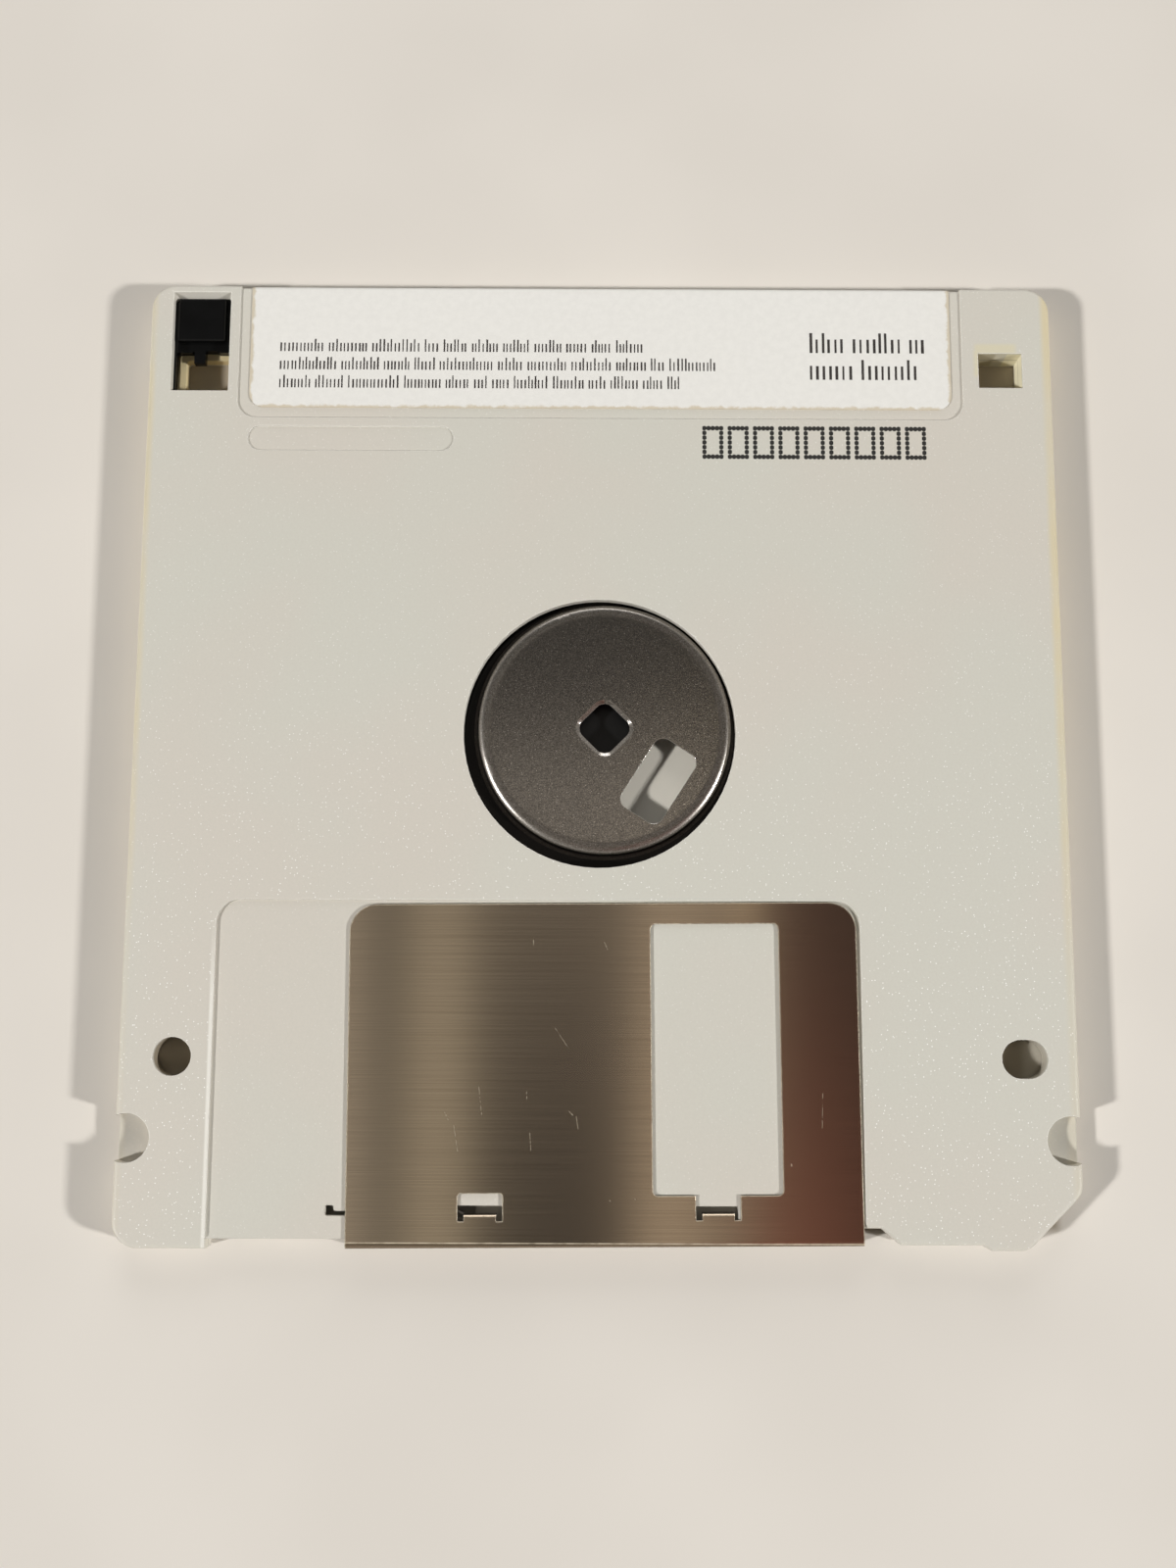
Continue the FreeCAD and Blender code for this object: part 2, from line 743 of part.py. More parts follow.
boss_foot = floor_top + boss_foot_gap
primary_boss_radius = locating_radius + boss_wall
secondary_half = locating_length / 2
add_between(
    lower_shell, "primary_boss", boss_foot, parting,
    lambda sketch: draw_circle(sketch, primary_x, locating_y, primary_boss_radius))
add_between(
    lower_shell, "secondary_boss", boss_foot, parting,
    lambda sketch: draw_obround(sketch, locating_x, locating_y,
                                secondary_half + boss_wall, primary_boss_radius))
cut_between(
    lower_shell, "primary_locating_hole", boss_foot, case_thickness,
    lambda sketch: draw_circle(sketch, primary_x, locating_y, locating_radius))
cut_between(
    lower_shell, "secondary_locating_hole", boss_foot, case_thickness,
    lambda sketch: draw_obround(sketch, locating_x, locating_y,
                                secondary_half, locating_radius))

cut_between(
    lower_shell, "hub_access_hole", roof_under, case_thickness,
    lambda sketch: draw_circle(sketch, 0, hub_y, hub_hole_radius))
cut_between(lower_shell, "head_window", roof_under, case_thickness, draw_head_window)
cut_between(
    lower_shell, "shutter_bay", case_thickness - bay_depth, case_thickness, draw_shutter_bay)

notch_x = half_width + notch_radius - notch_depth
notch_y = -half_length + notch_setback
for notch_name, side in (("left_notch", -1), ("right_notch", 1)):
    cut_between(
        lower_shell, notch_name, parting, case_thickness,
        lambda sketch: draw_circle(sketch, notch_x * side, notch_y, notch_radius))

window_left = -half_width + slide_window_side
window_right = window_left + slide_window_width
window_back = half_length - slide_window_top
window_front = window_back - slide_window_length
cut_between(
    lower_shell, "slide_window", roof_under, case_thickness,
    lambda sketch: draw_rectangle(sketch, window_left, window_right,
                                  window_front, window_back - slide_ramp))


def draw_slide_ramp(sketch):
    """The sloping end wall above the slide, where a fingertip or pen goes in."""
    foot = window_back - slide_ramp
    draw_profile(sketch, [
        (foot - edge_radius, roof_under),
        (foot, roof_under),
        (window_back, case_thickness),
        (window_back, case_thickness + edge_radius),
        (foot - edge_radius, case_thickness + edge_radius),
    ])


ramp_sketch = new_sketch(
    lower_shell, "slide_ramp_outline", "YZ_Plane", (window_left + window_right) / 2)
draw_slide_ramp(ramp_sketch)
pocket(lower_shell, "slide_ramp", ramp_sketch, slide_window_width, both_ways=True)


def draw_mitre(wall, inward, back, run):
    def draw(sketch):
        draw_profile(sketch, [(wall, back), (wall + run * inward, back), (wall, back - run)])
    return draw


for mitre_name, wall, inward in (("left_mitre", window_left, 1), ("right_mitre", window_right, -1)):
    mitre_foot = new_sketch(lower_shell, mitre_name + "_foot", "XY_Plane", roof_under)
    draw_mitre(wall, inward, window_back - slide_ramp, slide_mitre)(mitre_foot)
    mitre_tip = new_sketch(lower_shell, mitre_name + "_tip", "XY_Plane", case_thickness)
    draw_mitre(wall, inward, window_back, slide_mitre_tip)(mitre_tip)
    before = volume_of(lower_shell)
    mitre = lower_shell.newObject("PartDesign::AdditiveLoft", mitre_name)
    mitre.Profile = mitre_foot
    mitre.Sections = [mitre_tip]
    mitre.Ruled = True
    finish(lower_shell, mitre, before, True)

cut_between(lower_shell, "density_hole", parting, case_thickness, draw_density_hole)
cut_between(
    lower_shell, "label_recess", case_thickness - label_recess_depth, case_thickness,
    draw_label_recess(hub_side_recess_y))
cut_label_wrap(lower_shell, case_thickness, -1)

name_x = -half_width + name_recess_side + name_recess_length / 2
name_y = half_length - name_recess_back
cut_between(
    lower_shell, "name_recess", case_thickness - name_recess_depth, case_thickness,
    lambda sketch: draw_obround(sketch, name_x, name_y,
                                name_recess_length / 2, name_recess_width / 2))

opening_x = shutter_width / 2 - opening_right - opening_width / 2
lug_shift = lug_line * tilt_sine
lug_middle_y = shutter_top_y - lug_line
slot_high = lug_middle_y + slot_high_gap
slot_low = lug_middle_y - slot_low_gap
slot_right = shutter_x + opening_x + lug_shift + lug_width / 2 + slot_end_gap
slot_left = shutter_x - left_lug_from_middle + lug_shift - lug_width / 2 \
    - shutter_travel - slot_end_gap


def draw_lug_slot(sketch):
    """The shutter's lugs run in this slot. A neck joins it to a small pocket at its left end."""
    neck_left = slot_left - slot_neck_length
    neck_low = slot_high - slot_pocket_width
    neck_high = neck_low + slot_neck_width
    pocket_left = neck_left - slot_pocket_length
    draw_profile(sketch, [
        (pocket_left, neck_low, slot_round),
        (slot_left, neck_low),
        (slot_left, slot_low),
        (slot_right, slot_low),
        (slot_right, slot_high),
        (slot_left, slot_high),
        (slot_left, neck_high),
        (neck_left, neck_high, slot_round),
        (neck_left, slot_high, slot_round),
        (pocket_left, slot_high, slot_round),
    ])


def draw_lug_track(sketch):
    draw_rectangle(sketch, slot_left, slot_right, slot_low, slot_high)


cut_between(lower_shell, "lug_slot", roof_under, case_thickness, draw_lug_slot)
track_sketch = new_sketch(lower_shell, "lug_track_outline", "XY_Plane", parting)
draw_lug_track(track_sketch)
pocket(lower_shell, "lug_track", track_sketch, roof_under - parting, reverse=True)

for peg_name, peg_x, peg_y in peg_places:
    add_between(
        lower_shell, peg_name + "_post", parting, roof_under,
        lambda sketch: draw_circle(sketch, peg_x, peg_y, peg_post))
    add_between(
        lower_shell, peg_name, parting - peg_height, parting,
        lambda sketch: draw_circle(sketch, peg_x, peg_y, peg_radius))


# Upper shell: the label side of the case, which lies underneath here

upper_shell = new_body("upper_shell")
add_between(upper_shell, "case_block", 0, parting, draw_case)
round_edges(upper_shell, "outer_edge", edge_radius, outer_edge_at(as_length(0)))
for room_name, draw_outline in room_cuts:
    cut_between(upper_shell, room_name, floor_top, parting, draw_outline)
cut_between(
    upper_shell, "primary_boss_seat", floor_top, parting,
    lambda sketch: draw_circle(sketch, primary_x, locating_y, primary_boss_radius + peg_gap))
cut_between(
    upper_shell, "secondary_boss_seat", floor_top, parting,
    lambda sketch: draw_obround(sketch, locating_x, locating_y,
                                secondary_half + boss_wall + peg_gap,
                                primary_boss_radius + peg_gap))
for peg_name, peg_x, peg_y in peg_places:
    add_between(
        upper_shell, peg_name + "_post", floor_top, parting,
        lambda sketch: draw_circle(sketch, peg_x, peg_y, peg_post))
    cut_between(
        upper_shell, peg_name + "_socket", parting - peg_height - peg_gap, parting,
        lambda sketch: draw_circle(sketch, peg_x, peg_y, peg_radius + peg_gap))

cut_between(upper_shell, "head_window", 0, floor_top, draw_head_window)
cut_between(upper_shell, "shutter_bay", 0, bay_depth, draw_shutter_bay)
cut_between(upper_shell, "density_hole", 0, parting, draw_density_hole)

sense_left = -half_width + sense_hole_side
sense_right = sense_left + sense_hole_width
sense_high = half_length - sense_hole_back
sense_low = sense_high - sense_hole_length
add_between(
    upper_shell, "sense_collar", floor_top, floor_top + sense_collar_height,
    lambda sketch: draw_rectangle(
        sketch, sense_left - sense_collar, sense_right + sense_collar,
        sense_low - sense_collar, sense_high + sense_collar_back,
        sense_hole_round + sense_collar))
cut_between(
    upper_shell, "sense_hole", 0, floor_top + sense_collar_height,
    lambda sketch: draw_rectangle(sketch, sense_left, sense_right, sense_low, sense_high,
                                  sense_hole_round))

cut_between(
    upper_shell, "label_recess", 0, label_recess_depth, draw_label_recess(label_side_recess_y))
cut_label_wrap(upper_shell, as_length(0), 1)

cut_between(
    upper_shell, "pad_recess", floor_top - pad_recess, floor_top,
    lambda sketch: draw_circle(sketch, 0, hub_y, pad_radius + pad_gap))

lifter_left = head_window_width / 2 + lifter_side
lifter_high = window_high
cut_between(
    upper_shell, "lifter_recess", floor_top - lifter_recess, floor_top,
    lambda sketch: draw_rectangle(
        sketch, lifter_left - lifter_gap, lifter_left + lifter_width + lifter_gap,
        lifter_high - lifter_length - lifter_gap, lifter_high + lifter_gap, lifter_corner))

arrow_x = -half_width + arrow_side
arrow_tip = -half_length + arrow_setback


def draw_arrow(sketch):
    """The moulded arrow that shows which end goes into the drive."""
    shoulder = arrow_tip + arrow_head
    draw_profile(sketch, [
        (arrow_x, arrow_tip),
        (arrow_x + arrow_width / 2, shoulder),
        (arrow_x + arrow_stem / 2, shoulder),
        (arrow_x + arrow_stem / 2, arrow_tip + arrow_length),
        (arrow_x - arrow_stem / 2, arrow_tip + arrow_length),
        (arrow_x - arrow_stem / 2, shoulder),
        (arrow_x - arrow_width / 2, shoulder),
    ])


cut_between(upper_shell, "insertion_arrow", 0, arrow_depth, draw_arrow)


# Shutter: one folded sheet, drawn about the middle of its back edge

shutter = new_body("shutter")
shutter_top = case_thickness - shutter_clearance
shutter_foot = as_length(shutter_clearance)


def draw_shutter_section(sketch):
    """The folded sheet from the side: outside round the fold, then back inside it."""
    inner_fold = shutter_fold - sheet_thickness
    draw_profile(sketch, [
        (0, shutter_top),
        (-shutter_reach, shutter_top, shutter_fold),
        (-shutter_reach, shutter_foot, shutter_fold),
        (0, shutter_foot),
        (0, shutter_foot + sheet_thickness),
        (-shutter_reach + sheet_thickness, shutter_foot + sheet_thickness, inner_fold),
        (-shutter_reach + sheet_thickness, shutter_top - sheet_thickness, inner_fold),
        (0, shutter_top - sheet_thickness),
    ])


add_across(shutter, "folded_sheet", shutter_width, draw_shutter_section)


def back_corner(edge):
    """Pick the short upright edges at the sheet's free corners."""
    upright = abs(edge.Vertexes[0].Z - edge.Vertexes[-1].Z) > sheet_thickness.value / 2
    at_back = all(abs(vertex.Y) < 1e-6 for vertex in edge.Vertexes)
    return upright and at_back


round_edges(shutter, "free_corners", shutter_corner, back_corner)

opening_high = -opening_margin
opening_low = opening_high - opening_length
opening_half = opening_width / 2
lug_half = lug_width / 2
relief_half = lug_half + lug_relief
relief_low = -lug_line - lug_relief_depth
lug_root = -lug_line - lug_bend - lug_land


def draw_shutter_opening(sketch):
    left = opening_x - opening_half
    right = opening_x + opening_half
    draw_rectangle(sketch, left, right, opening_low, opening_high, window_round)


cut_between(shutter, "opening", 0, case_thickness, draw_shutter_opening)


def draw_lug_relief(middle, high, corner=None):
    """The hole that a lug is bent down out of, with a relief slit each side of the lug."""
    def draw(sketch):
        left, right = middle - relief_half, middle + relief_half
        tops = [(right, high), (left, high)]
        if corner is not None:
            tops = [
                (right, high - corner),
                (right - corner, high),
                (left + corner, high),
                (left, high - corner),
            ]
        draw_profile(sketch, [
            (left, relief_low),
            (middle - lug_half, relief_low),
            (middle - lug_half, lug_root),
            (middle + lug_half, lug_root),
            (middle + lug_half, relief_low),
            (right, relief_low),
        ] + tops)
    return draw


left_lug_x = -left_lug_from_middle
sheet_under = shutter_top - sheet_thickness
cut_between(shutter, "right_lug_relief", sheet_under, shutter_top,
            draw_lug_relief(opening_x, opening_low + window_round))
cut_between(shutter, "left_lug_relief", sheet_under, shutter_top,
            draw_lug_relief(left_lug_x, -lug_line + lance_length, lance_corner))


def draw_lug(sketch):
    """A lug from the side: it leaves the sheet, turns down and ends in the slot."""
    edge = -lug_line
    draw_profile(sketch, [
        (lug_root, shutter_top),
        (edge + sheet_thickness, shutter_top, lug_bend + sheet_thickness),
        (edge + sheet_thickness, shutter_top - lug_drop),
        (edge, shutter_top - lug_drop),
        (edge, sheet_under, lug_bend),
        (lug_root, sheet_under),
    ])


for lug_name, lug_x in (("right_lug", opening_x), ("left_lug", left_lug_x)):
    lug_sketch = new_sketch(shutter, lug_name + "_outline", "YZ_Plane", lug_x)
    draw_lug(lug_sketch)
    pad(shutter, lug_name, lug_sketch, lug_width, both_ways=True)

shutter.Placement = FreeCAD.Placement(
    FreeCAD.Vector(shutter_x.value, shutter_top_y.value, 0),
    FreeCAD.Rotation(FreeCAD.Vector(0, 0, 1), shutter_tilt.value))
bind(shutter, "Placement.Base.x", shutter_x)
bind(shutter, "Placement.Base.y", shutter_top_y)
bind(shutter, "Placement.Rotation.Angle", shutter_tilt)


# Write protect slide, at the end of its travel that leaves the sensing hole open

slide = new_body("write_protect_slide")
slide_left = channel_left + slide_gap
slide_right = channel_right - slide_gap
slide_back = channel_back - slide_gap
slide_front = slide_back - slide_plate_length
plate_top = roof_under - slide_gap
plate_under = plate_top - slide_plate
slide_middle = (slide_left + slide_right) / 2


def draw_slide_plate(sketch):
    """The sliding plate: a springy leg, two feet, and a tongue between the feet."""
    left_foot = slide_left + slide_left_foot
    right_foot = slide_right - slide_right_foot
    tongue_left = slide_middle - slide_tongue_shift - slide_tongue_width / 2
    tongue_right = tongue_left + slide_tongue_width
    waist = slide_front + slide_foot_drop
    draw_profile(sketch, [
        (slide_left, slide_back),
        (slide_left, slide_front - slide_leg_length),
        (slide_left + slide_leg_width, slide_front - slide_leg_length),
        (slide_left + slide_leg_width, slide_front),
        (left_foot, slide_front),
        (left_foot + slide_foot_drop, waist),
        (tongue_left, waist),
        (tongue_left, slide_front - slide_tongue_length),
        (tongue_right, slide_front - slide_tongue_length),
        (tongue_right, waist),
        (right_foot - slide_foot_drop, waist),
        (right_foot, slide_front),
        (slide_right, slide_front),
        (slide_right, slide_back),
    ])


add_between(slide, "plate", plate_under, plate_top, draw_slide_plate)
block_left = slide_left + slide_block_left
block_right = slide_right - slide_block_right
block_back = window_back - slide_ramp - slide_gap
block_front = block_back - slide_block_length
block_top = plate_top + slide_block_height
add_between(
    slide, "finger_block", plate_top, block_top,
    lambda sketch: draw_rectangle(sketch, block_left, block_right, block_front, block_back))


def block_top_edge(edge):
    return all(abs(vertex.Z - block_top.value) < 1e-6 for vertex in edge.Vertexes)


round_edges(slide, "block_edges", slide_block_edge, block_top_edge)


# Disk: coated film, bonded to the stamped steel hub

film = new_body("magnetic_film")
add_between(film, "film_disc", film_under, film_top,
            lambda sketch: draw_circle(sketch, disk_x, disk_y, film_radius))
cut_between(film, "centre_hole", film_under, film_top,
            lambda sketch: draw_circle(sketch, disk_x, disk_y, film_hole_radius))

hub = new_body("hub")
hub_sketch = new_sketch(hub, "hub_section", "XZ_Plane")
draw_profile(hub_sketch, [
    (0, hub_face - hub_sheet),
    (hub_radius - hub_sheet, hub_face - hub_sheet, hub_inner_shoulder),
    (hub_radius - hub_sheet, flange_under),
    (hub_flange_radius, flange_under),
    (hub_flange_radius, flange_top),
    (hub_radius, flange_top),
    (hub_radius, hub_face, hub_shoulder),
    (0, hub_face),
])
hub_turn = hub.newObject("PartDesign::Revolution", "drawn_cup")
hub_turn.Profile = hub_sketch
hub_turn.ReferenceAxis = (hub_sketch, ["V_Axis"])
hub_turn.Angle = 360
finish(hub, hub_turn, 0.0, True)

square_half = spindle_square / 2
square_sketch = new_sketch(hub, "spindle_square_outline", "XY_Plane", hub_face)
bind(square_sketch, "AttachmentOffset.Rotation.Angle", as_length(45))
draw_rectangle(square_sketch, -square_half, square_half, -square_half, square_half,
               spindle_square_round)
pocket(hub, "spindle_square", square_sketch, hub_sheet)


def is_square_rim(edge):
    """Whether an edge is on the upper rim of the spindle's square hole."""
    ends = [vertex.Point for vertex in edge.Vertexes]
    near = all(math.hypot(end.x, end.y) < spindle_square.value for end in ends)
    return near and all(abs(end.z - hub_face.value) < 1e-6 for end in ends)


bevel_edges(hub, "square_lip", square_lip_width, square_lip_depth, is_square_rim)


slot_sketch = new_sketch(hub, "drive_slot_outline", "XY_Plane", hub_face)
bearing = math.radians(drive_slot_bearing.value)
slot_offset_x = Length(
    drive_slot_distance.value * math.cos(bearing),
    f"{drive_slot_distance.formula} * cos({drive_slot_bearing.formula} * 1 deg)")
slot_offset_y = Length(
    drive_slot_distance.value * math.sin(bearing),
    f"{drive_slot_distance.formula} * sin({drive_slot_bearing.formula} * 1 deg)")
bind(slot_sketch, "AttachmentOffset.Base.x", slot_offset_x)
bind(slot_sketch, "AttachmentOffset.Base.y", slot_offset_y)
bind(slot_sketch, "AttachmentOffset.Rotation.Angle", drive_slot_bearing + drive_slot_skew)
draw_rectangle(
    slot_sketch, -drive_slot_length / 2, drive_slot_length / 2,
    -drive_slot_width / 2, drive_slot_width / 2, drive_slot_round)
pocket(hub, "drive_slot", slot_sketch, hub_sheet)
hub.Placement = FreeCAD.Placement(
    FreeCAD.Vector(disk_x.value, disk_y.value, 0), FreeCAD.Rotation())
bind(hub, "Placement.Base.x", disk_x)
bind(hub, "Placement.Base.y", disk_y)

bond = new_body("hub_bond_ring")
add_between(bond, "ring", flange_top, film_under,
            lambda sketch: draw_circle(sketch, disk_x, disk_y, hub_flange_radius - bond_margin))
cut_between(bond, "ring_hole", flange_top, film_under,
            lambda sketch: draw_circle(sketch, disk_x, disk_y, film_hole_radius + bond_margin))


# Liners: two rings of non-woven cloth, slit wide for the heads

def make_liner(label, low, high):
    liner = new_body(label)
    half = liner_slot_width / 2
    beyond = hub_y - liner_outer_radius * 2
    add_between(liner, "ring", low, high,
                lambda sketch: draw_circle(sketch, 0, hub_y, liner_outer_radius))
    cut_between(liner, "ring_hole", low, high,
                lambda sketch: draw_circle(sketch, 0, hub_y, liner_inner_radius))
    cut_between(liner, "head_slot", low, high,
                lambda sketch: draw_rectangle(sketch, -half, half, beyond, hub_y))


make_liner("upper_liner", floor_top, floor_top + liner_thickness)
make_liner("lower_liner", roof_under - liner_thickness, roof_under)

lifter = new_body("liner_lifter")
lifter_foot = floor_top - lifter_recess
add_between(
    lifter, "leaf", lifter_foot, lifter_foot + lifter_thickness,
    lambda sketch: draw_rectangle(
        sketch, lifter_left, lifter_left + lifter_width,
        lifter_high - lifter_length, lifter_high, lifter_corner - lifter_gap))

wear_pad = new_body("centre_wear_pad")
pad_foot = floor_top - pad_recess
add_between(wear_pad, "disc", pad_foot, pad_foot + pad_thickness,
            lambda sketch: draw_circle(sketch, 0, hub_y, pad_radius))


# Label: one sheet of paper, folded round the case's back edge

label = new_body("label")
label_skin_top = case_thickness - label_recess_depth + label_gap
label_skin_under = label_recess_depth - label_gap
label_inner_y = half_length - label_recess_depth + label_gap
label_outer_y = label_inner_y + label_thickness
label_back_end = hub_side_recess_y + label_back_gap
label_front_end = label_side_recess_y + label_front_gap
inner_turn = edge_radius + label_gap
outer_turn = inner_turn + label_thickness


def draw_label_section(sketch):
    draw_profile(sketch, [
        (label_back_end, label_skin_top),
        (label_inner_y, label_skin_top, inner_turn),
        (label_inner_y, label_skin_under, inner_turn),
        (label_front_end, label_skin_under),
        (label_front_end, label_skin_under - label_thickness),
        (label_outer_y, label_skin_under - label_thickness, outer_turn),
        (label_outer_y, label_skin_top + label_thickness, outer_turn),
        (label_back_end, label_skin_top + label_thickness),
    ])


add_across(label, "folded_paper", label_width, draw_label_section)


def label_free_corner(edge):
    """Pick the short upright edges at the ends of the paper."""
    ends = (label_back_end.value, label_front_end.value)
    upright = abs(edge.Vertexes[0].Z - edge.Vertexes[-1].Z) > label_thickness.value / 2
    at_end = any(
        all(abs(vertex.Y - end) < 1e-6 for vertex in edge.Vertexes) for end in ends)
    return upright and at_end


round_edges(label, "paper_corners", label_corner, label_free_corner)


# Spring: one wire with a single coil, which pushes the shutter shut

spring = doc.addObject("Part::Feature", "shutter_spring")
spring.Label = "shutter_spring"
coil_x = primary_x.value + coil_along.value
coil_y = -half_length.value + coil_setback.value
wire_low = floor_top.value + spring_floor_gap.value + wire_radius.value
wire_high = wire_low + coil_rise.value
tilt = math.radians(shutter_tilt.value)
lug_edge = left_lug_x.value - lug_half.value
lug_middle = -lug_line.value + sheet_thickness.value / 2
lug_edge_x = shutter_x.value + lug_edge * math.cos(tilt) - lug_middle * math.sin(tilt)
lug_edge_y = shutter_top_y.value + lug_edge * math.sin(tilt) + lug_middle * math.cos(tilt)
fixed_end = FreeCAD.Vector(
    -half_width.value + room_side.value + spring_end_gap.value,
    -half_length.value + fixed_end_setback.value, wire_low)
moving_end = FreeCAD.Vector(lug_edge_x - spring_end_gap.value, lug_edge_y, wire_high)
coil_middle = FreeCAD.Vector(coil_x, coil_y, 0)


def tangent_point(end, side):
    """Where the wire from end meets the coil, on the side away from the front edge."""
    away = FreeCAD.Vector(end.x - coil_x, end.y - coil_y, 0)
    bearing = math.atan2(away.y, away.x)
    opening = math.acos(coil_radius.value / away.Length)
    angle = bearing + side * opening
    spot = FreeCAD.Vector(math.cos(angle), math.sin(angle), 0) * coil_radius.value
    return angle, coil_middle + spot + FreeCAD.Vector(0, 0, end.z)


start_angle, coil_start = tangent_point(fixed_end, -1)
end_angle, coil_end = tangent_point(moving_end, 1)
swept = (start_angle - end_angle) % (2 * math.pi) + 2 * math.pi
pitch = coil_rise.value * 2 * math.pi / swept
coil_line = Part.makeHelix(pitch, coil_rise.value, coil_radius.value, 0, True)
coil_line.rotate(FreeCAD.Vector(0, 0, 0), FreeCAD.Vector(0, 0, 1), math.degrees(start_angle))
coil_line.translate(FreeCAD.Vector(coil_x, coil_y, wire_low))
start_tangent = coil_line.Edges[0].tangentAt(coil_line.Edges[0].FirstParameter)
section = Part.Wire([Part.makeCircle(wire_radius.value, coil_start, start_tangent)])
coil = Part.Wire(coil_line.Edges).makePipeShell([section], True, True)


def straight_leg(end, root):
    reach = end - root
    leg = Part.makeCylinder(wire_radius.value, reach.Length, root, reach)
    knee = Part.makeSphere(knee_radius.value, root)
    return leg.fuse(knee)


coil = coil.fuse([straight_leg(fixed_end, coil_start), straight_leg(moving_end, coil_end)])
spring.Shape = coil.removeSplitter()
spring.Placement = FreeCAD.Placement()


# Check every object, then write each sub-part

doc.recompute()
parts = [
    lower_shell, upper_shell, shutter, spring, slide, film, hub, bond,
    doc.getObject("upper_liner"), doc.getObject("lower_liner"), lifter, wear_pad, label,
]
for item in doc.Objects:
    if "Invalid" in item.State or "Error" in item.State:
        raise RuntimeError(f"{item.Label} failed: {item.State}")
for item in parts:
    if item.Shape.isNull() or not item.Shape.isValid():
        raise RuntimeError(f"{item.Label} has no valid shape")

os.makedirs("parts", exist_ok=True)
for item in parts:
    item.Shape.exportStep(f"parts/{item.Label}.step")
    box = item.Shape.BoundBox
    print(f"{item.Label}: {len(item.Shape.Solids)} solid, {item.Shape.Volume:.2f} mm3, "
          f"x {box.XMin:.2f} to {box.XMax:.2f}, y {box.YMin:.2f} to {box.YMax:.2f}, "
          f"z {box.ZMin:.2f} to {box.ZMax:.2f}")
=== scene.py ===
import bpy
import math
import random
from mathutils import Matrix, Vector


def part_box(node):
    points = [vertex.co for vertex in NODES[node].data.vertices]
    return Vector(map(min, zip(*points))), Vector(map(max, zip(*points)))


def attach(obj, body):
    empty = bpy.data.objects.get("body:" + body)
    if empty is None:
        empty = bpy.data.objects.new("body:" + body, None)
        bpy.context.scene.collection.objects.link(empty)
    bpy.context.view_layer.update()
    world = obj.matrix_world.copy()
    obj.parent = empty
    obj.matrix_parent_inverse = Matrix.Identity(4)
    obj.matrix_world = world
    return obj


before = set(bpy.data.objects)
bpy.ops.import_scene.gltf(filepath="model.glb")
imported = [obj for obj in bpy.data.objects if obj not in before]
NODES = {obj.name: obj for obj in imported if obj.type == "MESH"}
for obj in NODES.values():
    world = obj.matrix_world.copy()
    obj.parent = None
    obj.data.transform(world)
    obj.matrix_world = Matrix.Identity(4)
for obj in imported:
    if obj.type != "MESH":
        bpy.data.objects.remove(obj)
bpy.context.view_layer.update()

MM = 0.001

# Places on the disk in mm: x and y
LEFT_HOLE = (-40.0, -29.5)
RIGHT_HOLE = (40.0, -29.5)
HUB_HOLE_CENTRE = (0.0, 1.5)
HUB_CENTRE = (0.48, 1.95)

# Heights in mm
PARTING_LINE = 1.65             # where the two shells meet
OVER_SHUTTER_BAY = 3.12         # between the bay's floor and the shutter's top
OVER_LABEL_RECESS = 3.15        # the floor of the label's recess
OVER_RECESSES = 3.2             # between the recesses' floors and the case's top


# Helpers

def srgb(red, green, blue):
    """A colour given in 0-255 display values, as the linear colour that shaders take."""
    def linear(value):
        value /= 255
        return value / 12.92 if value <= 0.04045 else ((value + 0.055) / 1.055) ** 2.4
    return (linear(red), linear(green), linear(blue), 1.0)


def add_object(name, data):
    """A new object with that data, in the scene."""
    piece = bpy.data.objects.new(name, data)
    bpy.context.scene.collection.objects.link(piece)
    return piece


